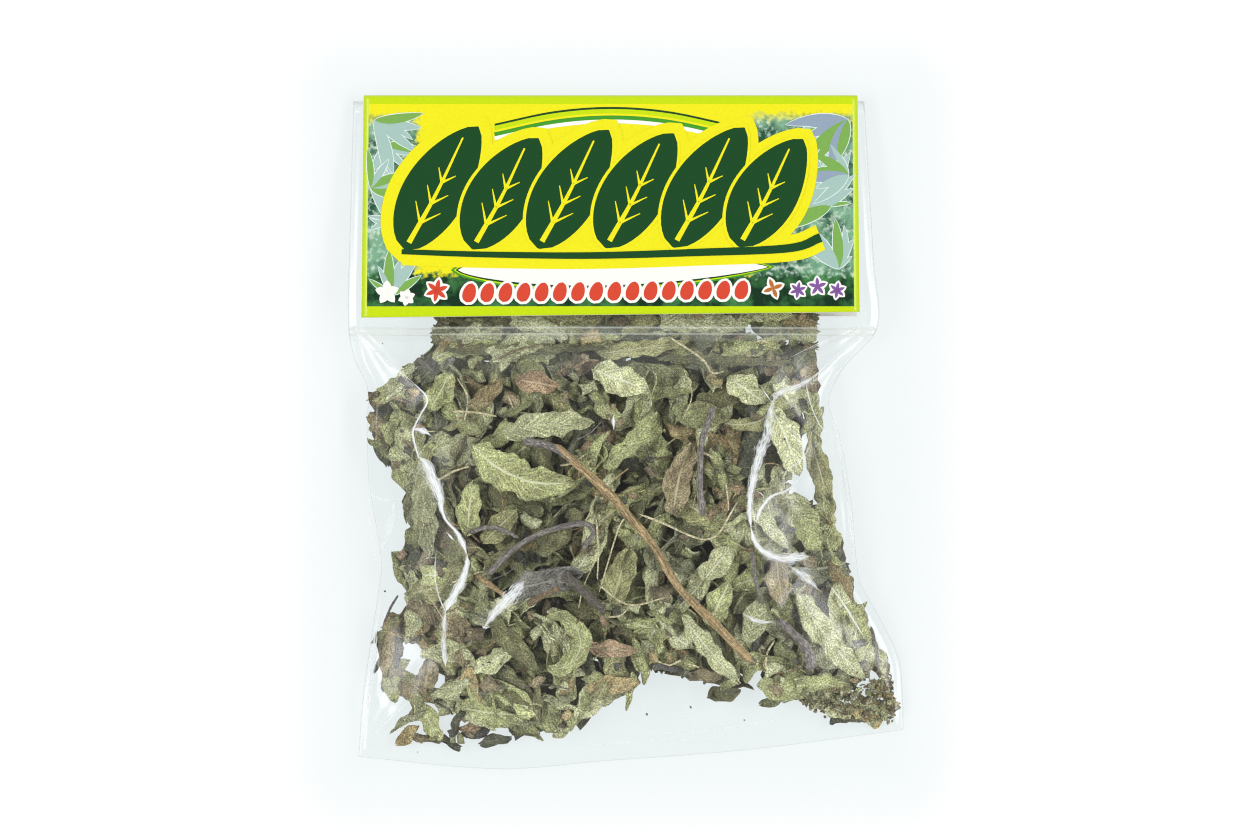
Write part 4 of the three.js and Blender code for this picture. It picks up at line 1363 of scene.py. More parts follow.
# %% The panels' heights
FILM_ROWS = [(0, 92.6), (16, 33), (54, 24), (170, -91), (178, -95)]  # row number and its y
FILM_COLUMNS = [(0, -1), (7, -0.95), (12, -0.9), (60, -0.58), (118, 0.5), (172, 0.9), (177, 0.95), (184, 1)]
RIB_HIGH, RIB_WIDE = 0.3, 0.4
WELD_HIGH, WELD_WIDE = 0.22, 0.4  # the melted bead along the weld
SEAM_SOFT = 1.6  # mm in which the panels part beside a seam
SMOOTH_FROM_Y, SMOOTH_STEP = 29.5, 3  # above this the card holds the film, and no fold lifts it
TABLE_CLEAR = 0.02  # mm that the film stays above the table


def film_height(side, x, y, s, u):
    """The height of the front panel (side 1) or the back one (side -1)."""
    left, right = through(LEFT_EDGE, s), through(RIGHT_EDGE, s)
    front, back = front_height(u, s), back_height(u, s)
    to_ends = np.minimum(s - BAG["bottom_y"], BAG["mouth_y"] - s)
    edge = np.minimum((1 - np.abs(u)) * (right - left) / 2, to_ends)
    half = (front - back) / 2
    room = np.maximum(half - half * np.exp(-edge / SEAM_SOFT), 0.08 * np.minimum(edge, 1))
    z = (front + back) / 2 + side * room
    if side > 0:
        free = ease((SMOOTH_FROM_Y - s) / SMOOTH_STEP) * ease(edge / 4)
        z = z + (folded(x, y) + waviness(x, y) * ease(edge / 5)) * free
        z = z + WELD_HIGH * np.exp(-(((edge - BAG["weld"]) / WELD_WIDE) ** 2))
        for rib in RIB_YS:
            z = z + RIB_HIGH * np.exp(-(((s - rib) / RIB_WIDE) ** 2)) * ease(edge / 1.5)
    return np.maximum(z, TABLE_CLEAR)


# %% The pouch
def panel(side):
    """The rule that lays one panel's grid, finer where the film creases and at its seams."""

    def shape(t, w):
        rows, columns = FILM_ROWS[-1][0], FILM_COLUMNS[-1][0]
        s = np.interp(t * rows, *zip(*FILM_ROWS))
        u = np.interp((w + 1) / 2 * columns, *zip(*FILM_COLUMNS))
        x = mix(through(LEFT_EDGE, s), through(RIGHT_EDGE, s), (u + 1) / 2)
        y = slanted(x, s)
        return x, y, film_height(side, x, y, s, u)

    return shape


bm = new_sheet()
for side in (1, -1):
    lay_grid(bm, FILM_ROWS[-1][0], FILM_COLUMNS[-1][0], panel(side))
bmesh.ops.remove_doubles(bm, verts=bm.verts, dist=0.01 * MM)
bmesh.ops.recalc_face_normals(bm, faces=bm.faces)
print("film faces:", len(bm.faces))

# %% [markdown]
# ### Its finish
#
# Clear film lets nearly all light through and reflects about 4% at each of its two faces, more
# where it turns away. A glass shader would bend light as a solid block does, which film doesn't,
# so plain transparency is mixed with a gloss by the angle. Worked film is also faintly milky, most
# of all where the closure's ribs are pressed into it.

# %% What the film does to light
FILM_REFLECTS = 0.024  # both faces together, seen straight on
FILM_PASSES = "fdfefe"
CRINKLES_PER_MM = 0.2
CLOUDS_PER_MM = 0.09
MILK = "ccd2ca"
FILM_MILK = 0.007
CLOSURE_MILK = 0.13  # between the ribs and a little below them
RIB_MILK = 0.3  # on the ribs themselves
HAZE_MILK = 0.07  # in the valley below the closure
print("milk, from the least to the most:", FILM_MILK, HAZE_MILK, CLOSURE_MILK, RIB_MILK)

# %% Where the film is milky
def cloudy_share(tree, place):
    """How milky the film is: in two bands by the closure, on its ribs, and a little all over."""
    y = node(tree, "SeparateXYZ", place, out="Y")

    def band(at_y, half, soft, strength):
        off = node(tree, "Math", y, (at_y + SHIFT.y) * MM, operation="SUBTRACT")
        off = node(tree, "Math", off, operation="ABSOLUTE")
        return node(tree, "MapRange", off, (half + soft) * MM, half * MM, 0.0, strength)

    pressed, dip = band(26.3, 1.6, 0.8, CLOSURE_MILK), band(18.5, 1.5, 4.5, HAZE_MILK)
    cloud = node(tree, "Math", pressed, dip, operation="ADD")
    patchy = node(tree, "TexNoise", Vector=place, Scale=CLOUDS_PER_MM / MM, Detail=3.0)
    patchy = node(tree, "MapRange", patchy, 0.3, 0.6, 0.35, 1.1)
    cloud = node(tree, "Math", cloud, patchy, operation="MULTIPLY")
    for rib in RIB_YS:
        cloud = node(tree, "Math", cloud, band(rib, 0.06, 0.3, RIB_MILK), operation="ADD")
    return node(tree, "Math", cloud, FILM_MILK, operation="ADD")


# %% Finish: polypropylene film
def film_finish():
    tree = new_finish("polypropylene film")
    place = node(tree, "TexCoord", out="Object")
    turned = node(tree, "LayerWeight", Blend=0.5, out="Facing")
    steep = node(tree, "Math", turned, 5.0, operation="POWER")
    gloss = node(tree, "MapRange", steep, To_Min=FILM_REFLECTS, To_Max=0.5)
    crinkle = node(tree, "TexNoise", Vector=place, Scale=CRINKLES_PER_MM / MM, Detail=1.0)
    bump = node(tree, "Bump", Strength=0.12, Distance=0.3 * MM, Height=crinkle)
    clear = node(tree, "BsdfTransparent", Color=linear(FILM_PASSES))
    shine = node(tree, "BsdfGlossy", Color=(1, 1, 1, 1), Roughness=0.22, Normal=bump)
    milk = node(tree, "BsdfDiffuse", Color=linear(MILK))
    body = node(tree, "MixShader", cloudy_share(tree, place), clear, milk)
    film = node(tree, "MixShader", gloss, body, shine)
    node(tree, "OutputMaterial", film, out=None)
    return bpy.data.materials["polypropylene film"]


add_piece("film_bag", bm, [film_finish()], ["bag"])

# %% [markdown]
# ### Whitened creases, and their painted glare
#
# Where the film is pinched hardest it stands up in a small pleat, and its polymer goes white
# along it. The same white also paints the glare of the strips along these creases, a painted
# highlight that is white from every side. Each pleat is a low strip along its fold, a little wider
# here and narrower there, and its finish is patchy along the strip, because the white comes in strands.

# %% Pleats
# Each pleat is a row of stations: x, y, its width there, all in mm, and how white it is, where the
# white is both stress whitening and painted glare.
PLEATS = [
    [(-78.8, 28, 0.4, 0.3), (-69.8, 20.9, 0.5, 0.5), (-60, 13, 0.5, 0.7)],
    [
        (-60, 13, 0.5, 0.8), (-55.4, 8, 0.7, 1), (-57.4, 3.4, 0.6, 0.8), (-59.4, -1, 0.8, 1),
        (-58.8, -5, 0.6, 1), (-57.6, -8.8, 0.7, 1),
    ],
    [(-59.6, -0.4, 1, 0.9), (-56.6, -0.9, 2.4, 0.9), (-53.8, -2.6, 0.6, 0.5)],
    [
        (-57.8, -8, 0.7, 0.8), (-55.4, -10.4, 3.6, 0.75), (-53.3, -14.9, 4, 0.85),
        (-51.6, -19.3, 2.8, 0.95), (-51.2, -22.4, 1.4, 1), (-50, -25.6, 0.9, 1), (-47.2, -28.7, 1, 1),
        (-45.4, -31.6, 1.9, 1), (-43.9, -35.4, 0.9, 1),
    ],
    [(-49.8, -29, 0.8, 0.9), (-48.6, -30.4, 1.9, 1), (-47.4, -31.6, 0.5, 0.8)],
    [
        (-43.9, -35.4, 0.9, 1), (-44, -38, 1.7, 0.95), (-45.3, -42.4, 2.6, 0.9), (-48.2, -47.6, 3, 0.9),
        (-50.2, -51.4, 2, 1),
    ],
    [(-50.2, -51.4, 1.8, 0.9), (-50.6, -57, 2.4, 0.3), (-50.8, -62, 2.8, 0.5), (-50.4, -67, 2.2, 0.9)],
    [(-52.8, -33.5, 1, 0.1), (-53.2, -41, 0.9, 0.4), (-52.2, -46.6, 0.7, 0.5), (-50.2, -51.2, 0.5, 0.8)],
    [
        (66, 25, 0.5, 0.1), (58.6, 19.4, 0.6, 0.2), (53.5, 14.6, 1.2, 0.4), (48.4, 11.6, 2.6, 0.55),
        (43, 9.6, 2.8, 0.5), (41.4, 7.6, 2.2, 0.4),
    ],
    [
        (41.6, 8.4, 1.6, 0.35), (40.4, 3.4, 5.4, 0.25), (39.6, -2, 5.4, 0.4), (37.7, -6.4, 4.4, 0.6),
        (36, -12, 3.2, 0.75), (34.8, -17.6, 2.2, 0.85), (34.4, -22.6, 1.6, 0.95), (34.8, -27.8, 1.5, 0.95),
    ],
    [
        (34.8, -27.8, 1.5, 0.95), (35.8, -31.4, 1.5, 0.95), (38.4, -34.4, 1.9, 0.95), (43, -36.4, 2.8, 0.8),
        (48, -36.2, 4.4, 0.7), (51.6, -36, 2.6, 0.4),
    ],
    [
        (36.2, -26.4, 1.2, 1), (37.6, -22.6, 1.2, 1), (40.6, -19.2, 1.2, 0.8), (45.4, -17.3, 0.9, 0.6),
        (50.5, -12.5, 0.5, 0.4),
    ],
    [(36.4, -17.7, 0.6, 0.8), (38, -18.6, 0.7, 0.9), (38.6, -20.2, 0.4, 0.7)],
    [(37.8, 11.5, 0.3, 0.7), (39.4, 9.2, 0.5, 0.9), (41, 7, 0.4, 0.8)],
    [(52, -5.3, 0.3, 0.6), (49.1, -9.1, 0.4, 0.8), (44.6, -12.5, 0.3, 0.6)],
    [(50.6, 13, 0.8, 0.6), (52.4, 6, 0.6, 0.5), (54.8, 0.6, 0.5, 0.6), (57.6, -2.6, 0.6, 0.3)],
    [(60.6, -3, 0.7, 0.2), (62, -16, 1, 0.6), (64.2, -27.6, 0.8, 0.5), (64.2, -38, 0.6, 0.3)],
    [(45.5, -38.5, 2, 0.3), (50, -41.5, 4, 0.6), (54.6, -46, 1.5, 0.2)],
    [(56.6, -43.3, 0.5, 0.3), (61.5, -49.8, 0.9, 0.7), (64.8, -55.2, 0.8, 0.7), (67.6, -59.7, 0.4, 0.3)],
    [(32.5, -51.5, 1.4, 0.3), (36.5, -53.8, 2.2, 0.5), (42, -54.3, 1.2, 0.3)],
    [(-39.6, -56, 1.4, 0.5), (-35.6, -50.6, 3.4, 0.75), (-31.2, -46.2, 5.4, 0.7), (-28, -42.4, 4.6, 0.25)],
    [(-3.3, 3.4, 1.2, 1), (-3.3, 1.6, 1.9, 1), (-3.2, -0.6, 1, 1)],
    [(-70.5, -38, 0.6, 0.2), (-72.6, -24, 0.8, 0.5), (-71.8, -14, 0.5, 0.2)],
    [(-73, -18.3, 0.5, 0.3), (-68, -20.4, 0.9, 0.7), (-62, -19.8, 0.4, 0.3)],
    [(-72.6, -80, 0.6, 0.2), (-71.6, -68, 1.4, 0.8), (-70, -58, 0.5, 0.2)],
    [(-73.4, -89, 0.4, 0.2), (-66, -82, 0.8, 0.5), (-60.5, -76.6, 0.4, 0.3)],
    [(45, 19, 0.4, 0.1), (56, 24.4, 0.4, 0.4), (66, 28.4, 0.4, 0.4)],
    [(55, 16, 0.4, 0.2), (62, 21.4, 0.5, 0.4), (69, 27, 0.4, 0.3)],
    [(57, 12, 0.4, 0.2), (62.6, 18.6, 0.6, 0.5), (69.6, 26, 0.4, 0.3)],
    [(50, 21, 0.3, 0.1), (58, 25.2, 0.5, 0.4), (67, 29.2, 0.3, 0.3)],
    [(-64.6, -19, 1.2, 0.15), (-66, -27, 4.6, 0.3), (-69.4, -36, 1.2, 0.1)],
    [(2, -86.4, 0.4, 0), (24, -85.4, 0.9, 0.35), (46, -81.8, 0.4, 0.1)],
    [(-14, -90.4, 0.4, 0), (8, -88.6, 0.7, 0.35), (30, -88.4, 0.4, 0.1)],
    [(12, -77, 0.5, 0), (16, -80.6, 1.4, 0.25), (18, -85, 0.6, 0.1)],
    [(-74.6, -90, 1, 0.2), (-73.4, -80, 2, 0.45), (-71.6, -64, 2, 0.45), (-69, -48, 1, 0.2)],
    [(58.4, 6, 0.8, 0.2), (60.4, -6, 1.6, 0.4), (62.6, -20, 1.6, 0.45), (64.8, -40, 0.8, 0.2)],
]

print("whitest station:", max(station[3] for pleat in PLEATS for station in pleat))

# %% The rule for a pleat
PLEAT_STEP = 0.7  # mm
PLEAT_LIFT, PLEAT_HIGH, PLEAT_THICK = 0.15, 0.2, 0.06
PLEAT_BROADER = 1.15  # its thin sides fade out, so it is laid a little wider than it looks


def lay_pleat(bm, pleat, draw):
    """Adds a strip along a pleat to bm. Its grain counts mm along it and holds its whiteness."""
    via = [(x, y) for x, y, _, _ in pleat]
    widths, whites = [station[2] for station in pleat], [station[3] for station in pleat]
    line = route(via, 40)
    length = np.hypot(*np.diff(line, axis=0).T).sum()
    steps = round(length / PLEAT_STEP)
    line = route(via, steps)
    way = np.gradient(line, axis=0)
    way /= np.linalg.norm(way, axis=1)[:, None]
    far = np.linspace(0, 1, steps + 1)
    half = along_fold(widths, far) / 2 * PLEAT_BROADER
    ragged = [1 + 0.1 * np.sin(far * length * rate + draw.uniform(0, 6)) for rate in (1.9, 2.6)]
    ends = ease(far * steps / 4) * ease((1 - far) * steps / 4) * 0.9 + 0.1

    def shape(t, w):
        i = np.rint(t * steps).astype(int)
        off = half[i] * np.where(w > 0, ragged[0][i], ragged[1][i]) * ends[i] * w
        x, y = line[i, 0] - way[i, 1] * off, line[i, 1] + way[i, 0] * off
        s = squared(x, y)
        z = film_height(1, x, y, s, across(x, s)) + PLEAT_LIFT + PLEAT_HIGH * (1 - w**2)
        return x, y, z

    made = lay_grid(bm, steps, 6, shape)
    grain = bm.verts.layers.float_vector["grain"]
    for v in made:
        t = v[grain].x
        v[grain] = (t * length, v[grain].y, float(along_fold(whites, t)))


# %% Finish: whitened film
def glare_and_whitening_finish():
    tree = new_finish("whitened polypropylene and painted glare")
    grain = node(tree, "Attribute", attribute_name="grain", out="Vector")
    along, side, white = node(tree, "SeparateXYZ", grain, out=None).outputs
    # The strands run along the pleat, whose grain counts mm that way.
    far = node(tree, "Math", along, 0.22, operation="MULTIPLY")
    off = node(tree, "Math", side, 3.0, operation="MULTIPLY")
    way = node(tree, "CombineXYZ", far, off)
    strands = node(tree, "TexNoise", Vector=way, Scale=1.6, Detail=4.0, Roughness=0.65)
    rim = node(tree, "Math", side, operation="ABSOLUTE")
    seen = node(tree, "MapRange", rim, 1.0, 0.2)
    for mark, middle, weight in ((white, 1.0, 0.8), (strands, 0.5, 2.2)):
        more = node(tree, "Math", mark, middle, operation="SUBTRACT")
        more = node(tree, "Math", more, weight, operation="MULTIPLY")
        seen = node(tree, "Math", seen, more, operation="ADD")
    share = node(tree, "MapRange", seen, 0.15, 0.95, 0.0, 0.9)
    clear = node(tree, "BsdfTransparent", Color=(1, 1, 1, 1))
    # Painted highlight: this white stands for the strips' glare along the crease as well as stress whitening.
    whitened_and_glare = node(tree, "BsdfDiffuse", Color=linear("dbdfdf"))
    node(tree, "OutputMaterial", node(tree, "MixShader", share, clear, whitened_and_glare), out=None)
    return bpy.data.materials["whitened polypropylene and painted glare"]


# %% Lay the pleats
bm = new_sheet()
draw = dice("pleats")
for pleat in PLEATS:
    lay_pleat(bm, pleat, draw)
thicken(add_piece("film_pleats_and_painted_glare", bm, [glare_and_whitening_finish()]), PLEAT_THICK)
print("pleats:", len(PLEATS))

# %% [markdown]
# ## The header card
#
# A folded card, printed outside and white inside. Its sheet follows the CAD's section: up the
# back, round the fold and down the front, where it bows over the full bag.

# %% Finish: printed card
TOOTH_PER_MM = 1.8


def coated(tree, place, colour):
    """Ends a print finish: coated board has a slight tooth and a satin sheen."""
    tooth = node(tree, "TexNoise", Vector=place, Scale=TOOTH_PER_MM / MM, Detail=2.0)
    tint = node(tree, "MapRange", tooth, 0.3, 0.7, 0.96, 1.03)
    colour = node(tree, "VectorMath", colour, operation="SCALE", Scale=tint)
    bump = node(tree, "Bump", Strength=0.06, Distance=0.05 * MM, Height=tooth)
    coat = node(
        tree, "BsdfPrincipled", Base_Color=colour, Roughness=0.3, Normal=bump, Specular_IOR_Level=0.3
    )
    node(tree, "OutputMaterial", coat, out=None)


def ink_finish(name, hex_colour):
    tree = new_finish(name)
    coated(tree, node(tree, "TexCoord", out="Object"), linear(hex_colour)[:3])
    return bpy.data.materials[name]


INKS = {
    "yellow": "d6cf18",
    "lime": "b0c708",
    "dark_green": "123f1c",
    "mid_green": "3a8a26",
    "white": "dcdcd6",
    "red": "c0402c",
    "teal": "93aea6",
    "pale_teal": "c9d6d0",
    "leaf_green": "6f9a4a",
    "violet": "76508e",
    "lilac": "8292a2",
    "orange": "a8642c",
}
INK_FINISHES = {name: ink_finish(f"offset ink, {name}", colour) for name, colour in INKS.items()}
board = ink_finish("white board", "d4d2ca")
print("inks:", len(INK_FINISHES))

# %% The card's sheet
CARD_ROWS, CARD_COLUMNS = 96, 60
BACK_SHARE, FOLD_SHARE = 0.3, 0.1  # of the sheet's rows: up the back flap, and round the fold


def card_front(y):
    return through(CROWN, y) + GAP + CARD["thick"] / 2


def card_section(t):
    """The middle of the card in section: y and z, from the back flap's hem to the front flap's."""
    back = CARD["thick"] / 2
    top = card_front(np.array(CARD["fold_y"]))
    middle, radius = (back + top) / 2, (top - back) / 2
    front_from = BACK_SHARE + FOLD_SHARE
    on_back, on_front = t < BACK_SHARE, t > front_from
    turn = mix(-np.pi / 2, np.pi / 2, np.clip((t - BACK_SHARE) / FOLD_SHARE, 0, 1))
    y = CARD["fold_y"] + CARD["fold_deep"] * np.cos(turn)
    z = middle + radius * np.sin(turn)
    y_back = mix(CARD["hem_y"], CARD["fold_y"], t / BACK_SHARE)
    y_front = mix(CARD["fold_y"], CARD["hem_y"], (t - front_from) / (1 - front_from))
    y = np.where(on_back, y_back, np.where(on_front, y_front, y))
    z = np.where(on_back, back, np.where(on_front, card_front(y_front), z))
    return y, z


def bowed(x, y, z, front):
    """Bows the front flap down at its sides and skews its hem, more the further it is from the fold."""
    side = (x - CARD["middle"]) / (CARD["width"] / 2)
    loose = front * ease((CARD["fold_y"] - y) / (CARD["fold_y"] - CARD["hem_y"]))
    return x, y + CARD["skew"] * side * loose, z - CARD["bow"] * side**2 * loose


def card_sheet(t, w):
    y, z = card_section(t)
    x = CARD["middle"] + w * CARD["width"] / 2
    return bowed(x, y, z, np.where(t > BACK_SHARE + FOLD_SHARE / 2, 1.0, 0.0))


# %% The card's printed fields, in mm
BORDER = {"side": 1.5, "top_y": 91.6, "foot_y": 34.0}
BAND_TOP_Y = 43.0
PANELS = [(-74, -59, 36, 87.5), (36, 65.5, 40, 88)]  # left, right, foot and top of a leafy corner
CRISP = 0.04  # mm in which a sharp edge of the print ends
CORNER_GREENS = ("1f4a36", "6f9a7c", "b4c6b4")
BAND_GREENS = ("0c2c18", "3f7a44")
print("yellow field:", CARD["width"] - 2 * BORDER["side"], "mm wide")

# %% Parts of the printed fields
def beyond(tree, value, limit, soft):
    """1 past limit and 0 before it, or the other way round where soft is negative, all in mm."""
    return node(tree, "MapRange", value, (limit - soft) * MM, (limit + soft) * MM)


def printed_panels(tree, colour, teal, x, y):
    """Lays the leafy corners over colour, with soft edges."""
    for left, right, foot, top in PANELS:
        inside = beyond(tree, x, left + SHIFT.x, 1.0)
        for limit in (
            beyond(tree, x, right + SHIFT.x, -1.0),
            beyond(tree, y, foot + SHIFT.y, 1.0),
            beyond(tree, y, top + SHIFT.y, -1.5),
        ):
            inside = node(tree, "Math", inside, limit, operation="MULTIPLY")
        colour = node(tree, "Mix", inside, data_type="RGBA", _6=colour, _7=teal, out=2)
    return colour


def border_share(tree, x, y):
    """1 on the border, which runs up both sides, over the fold and along the hem."""
    far = node(tree, "Math", x, (CARD["middle"] + SHIFT.x) * MM, operation="SUBTRACT")
    far = node(tree, "Math", far, operation="ABSOLUTE")
    edge = beyond(tree, far, CARD["width"] / 2 - BORDER["side"], CRISP)
    top = beyond(tree, y, BORDER["top_y"] + SHIFT.y, CRISP)
    foot = beyond(tree, y, BORDER["foot_y"] + SHIFT.y, -CRISP)
    edge = node(tree, "Math", edge, top, operation="MAXIMUM")
    return node(tree, "Math", edge, foot, operation="MAXIMUM")


# %% Finish: the printed fields
def card_print():
    """A lime border round yellow, two leafy corners with soft edges and a dark band at the foot."""
    tree = new_finish("printed card, fields")
    place = node(tree, "TexCoord", out="Object")
    x, y, _ = node(tree, "SeparateXYZ", place, out=None).outputs
    cloud = node(tree, "TexNoise", Vector=place, Scale=0.15 / MM, Detail=5.0, Roughness=0.6)
    fine = node(tree, "TexNoise", Vector=place, Scale=0.7 / MM, Detail=3.0)
    wander = node(tree, "MapRange", fine, 0.3, 0.7, -1.2 * MM, 1.2 * MM)
    x_rough = node(tree, "Math", x, wander, operation="ADD")
    y_rough = node(tree, "Math", y, wander, operation="ADD")

    mist = {"data_type": "RGBA", "out": 2}
    shadow, leafy, pale = [linear(c) for c in CORNER_GREENS]
    teal = node(tree, "Mix", node(tree, "MapRange", cloud, 0.38, 0.6), _6=shadow, _7=leafy, **mist)
    teal = node(tree, "Mix", node(tree, "MapRange", fine, 0.5, 0.72), _6=teal, _7=pale, **mist)
    colour = printed_panels(tree, linear(INKS["yellow"]), teal, x_rough, y_rough)
    shadow, leafy = [linear(c) for c in BAND_GREENS]
    dark = node(tree, "Mix", node(tree, "MapRange", cloud, 0.42, 0.66), _6=shadow, _7=leafy, **mist)
    in_band = beyond(tree, y_rough, BAND_TOP_Y + SHIFT.y, -0.8)
    colour = node(tree, "Mix", in_band, _6=colour, _7=dark, **mist)
    edge = border_share(tree, x, y)
    coated(tree, place, node(tree, "Mix", edge, _6=colour, _7=linear(INKS["lime"]), **mist))
    return bpy.data.materials["printed card, fields"]


# %% The finished card
bm = new_sheet()
lay_grid(bm, CARD_ROWS, CARD_COLUMNS, card_sheet)
card = add_piece("card", bm, [card_print(), board], ["header_card"])
thicken(card, CARD["thick"], inner=1, rim=1)
print("card:", len(card.data.polygons), "faces")

# %% [markdown]
# ### Its print
#
# The print is a sprig of bold dark leaves on yellow, with slender pale leaves in the corners, an
# arch of stripes above and a row of beads on the dark band below. Ink has no thickness to speak
# of, but as slabs a few hundredths of a millimetre thick its edges stay sharp however close one
# looks. Each shape has a level of its own, so that overprinted inks never lie in one plane.

# %% Where ink lies
INK_THICK = 0.03
INK_STEP = 0.008  # mm from one level of the print to the next


def on_card(x, y, level):
    """Lays points x, y of the flat print on the front flap, level steps above its face."""
    z = card_front(y) + CARD["thick"] / 2 + INK_STEP * level
    return bowed(x, y, z, 1.0)


# %% Ink shapes
def ink_leaf(bm, at, yaw, long, wide, level, grow=0.0, finish=0, bend=0.0, blunt=0.75, fine=(24, 8)):
    """A printed leaf from its base at, grown all round by grow mm for a halo."""
    yaw, bend = math.radians(yaw), math.radians(bend)

    def shape(t, w):
        far = mix(-grow, long + grow, t)
        body = np.sin(np.pi * np.clip(t, 0.0005, 0.9995) ** 0.85) ** blunt
        off = (wide / 2 + grow) * body * w
        turned = yaw + bend * (far / long - 0.5)
        halfway = yaw + bend * (far / long - 0.5) / 2
        x = at[0] + far * np.cos(halfway) - off * np.sin(turned)
        y = at[1] + far * np.sin(halfway) + off * np.cos(turned)
        return on_card(x, y, level)

    lay_grid(bm, *fine, shape, finish=finish)


def ink_band(bm, via, half, level, finish=0, steps=60):
    """A printed stripe along via. half is its half width at its start and at its end."""
    line = route(via, steps)
    way = np.gradient(line, axis=0)
    way /= np.linalg.norm(way, axis=1)[:, None]

    def shape(t, w):
        i = np.rint(t * steps).astype(int)
        off = mix(*half, t) * w
        return on_card(line[i, 0] - way[i, 1] * off, line[i, 1] + way[i, 0] * off, level)

    lay_grid(bm, steps, 2, shape, finish=finish)


def print_piece(name, bm, inks):
    for face in bm.faces:
        face.smooth = False
    piece = add_piece(name, bm, [INK_FINISHES[ink] for ink in inks])
    thicken(piece, INK_THICK, offset=-1)
    print(name, "faces:", len(piece.data.polygons))


# %% Slender leaves in the corners
CORNER_SPRAYS = [
    # root x, y, first and last yaw, leaves, longest, and which inks, by number
    (-66, 58, 20, 190, 9, 17, (0, 0, 2)),
    (-68, 80, -120, -10, 6, 12, (0, 0, 2)),
    (-66, 38, 30, 140, 6, 13, (0, 0, 2)),
    (58, 62, 20, 200, 10, 20, (0, 0, 2)),
    (50, 84, -110, 30, 7, 15, (0, 0, 2)),
    (60, 44, 40, 150, 7, 15, (0, 0, 2)),
    (-71, 87, -80, 0, 6, 17, (0, 2, 3)),
    (-72, 68, -20, 80, 5, 12, (0, 2, 3)),
    (63, 87, 180, 265, 7, 19, (0, 2, 3)),
    (63, 71, 120, 220, 6, 14, (0, 2, 3)),
]
CORNER_INKS = ["teal", "pale_teal", "leaf_green", "lilac"]
LEFT_REACH, RIGHT_REACH = (-72.2, -44), (30, 63.5)  # the x between which the sprays stay
CORNER_GRID = (14, 4)
STEEP = 0.1  # a leaf whose cosine is smaller than this stands nearly upright

corner_leaves = new_sheet()
draw = dice("corner leaves")
rim_ink = CORNER_INKS.index("pale_teal")
level = 1
for x, y, first, last, leaves, longest, inks in CORNER_SPRAYS:
    for k in range(leaves):
        yaw = mix(first, last, k / (leaves - 1)) + draw.normal(0, 6)
        long = longest * draw.uniform(0.6, 1)
        across_share = math.cos(math.radians(yaw))
        reach = [(end - x) / across_share for end in (LEFT_REACH if x < 0 else RIGHT_REACH)]
        long = min(long, max(reach)) if abs(across_share) > STEEP else long
        shared = {"wide": long * draw.uniform(0.16, 0.26), "bend": draw.normal(0, 18), "fine": CORNER_GRID}
        ink_leaf(corner_leaves, (x, y), yaw, long, level=level, grow=0.25, finish=rim_ink, **shared)
        ink_leaf(corner_leaves, (x, y), yaw, long, level=level + 1, finish=draw.choice(inks), **shared)
        level += 0.15
print_piece("print_corner_leaves", corner_leaves, CORNER_INKS)

# %% Arch of stripes, and lens
BAND_INKS = ["dark_green", "lime", "yellow", "mid_green", "white"]
ARCH = [(-37, 85.6), (-20, 89.2), (-4, 90.4), (12, 89.2), (29, 85.6)]
ARCH_STEP = 0.95  # mm from stripe to stripe
ARCH_STRIPES = [(0.35, "dark_green"), (0.7, "lime"), (0.4, "yellow"), (0.75, "mid_green"), (0.55, "white")]
PALE_LENS = {"at": (-47, 44.7), "yaw": 0, "long": 87, "wide": 9.6, "fine": (60, 8)}
LENS_RINGS = [(2.0, "mid_green"), (1.2, "lime"), (0.7, "dark_green"), (0, "white")]

bands = new_sheet()
for k, (half, ink) in enumerate(ARCH_STRIPES):
    line = [(x, y - ARCH_STEP * k) for x, y in ARCH]
    ink_band(bands, line, (half, half), 4 + k, finish=BAND_INKS.index(ink))
for k, (grow, ink) in enumerate(LENS_RINGS):
    ink_leaf(bands, level=9 + k, grow=grow, finish=BAND_INKS.index(ink), **PALE_LENS)
print_piece("print_bands", bands, BAND_INKS)

# %% The sprig's measures
SPRIG_LEAVES = [(-62, 1.03), (-43, 0.93), (-24.5, 1), (-5.5, 0.97), (13.5, 1.02), (32, 0.92)]  # x, length
STALK = [(-63, 50), (-40, 49), (-10, 48.4), (20, 49), (46, 50), (55, 53)]
BASE_Y = 50.5
YAW, LEAF_LONG, LEAF_WIDE = 63, 39, 18
HALO, OUTLINE = 3.6, 0.9  # mm round each leaf
RIB_ENDS_AT = 0.88  # of the leaf's length
VEIN_LEAVES_AT, VEIN_SPREADS = (2, 4, 6), 38  # steps along the rib, and degrees from it


def sprig_veins(bm, rib):
    """Side veins in pairs, shorter towards the leaf's tip."""
    for place in VEIN_LEAVES_AT:
        for side in (1, -1):
            (ax, ay), turn = rib[place], math.radians(YAW + side * VEIN_SPREADS)
            reach = 7.4 - 0.5 * place
            end = (ax + reach * math.cos(turn), ay + reach * math.sin(turn))
            ink_band(bm, [(ax, ay), end], (0.4, 0.12), 29.4, finish=1, steps=6)


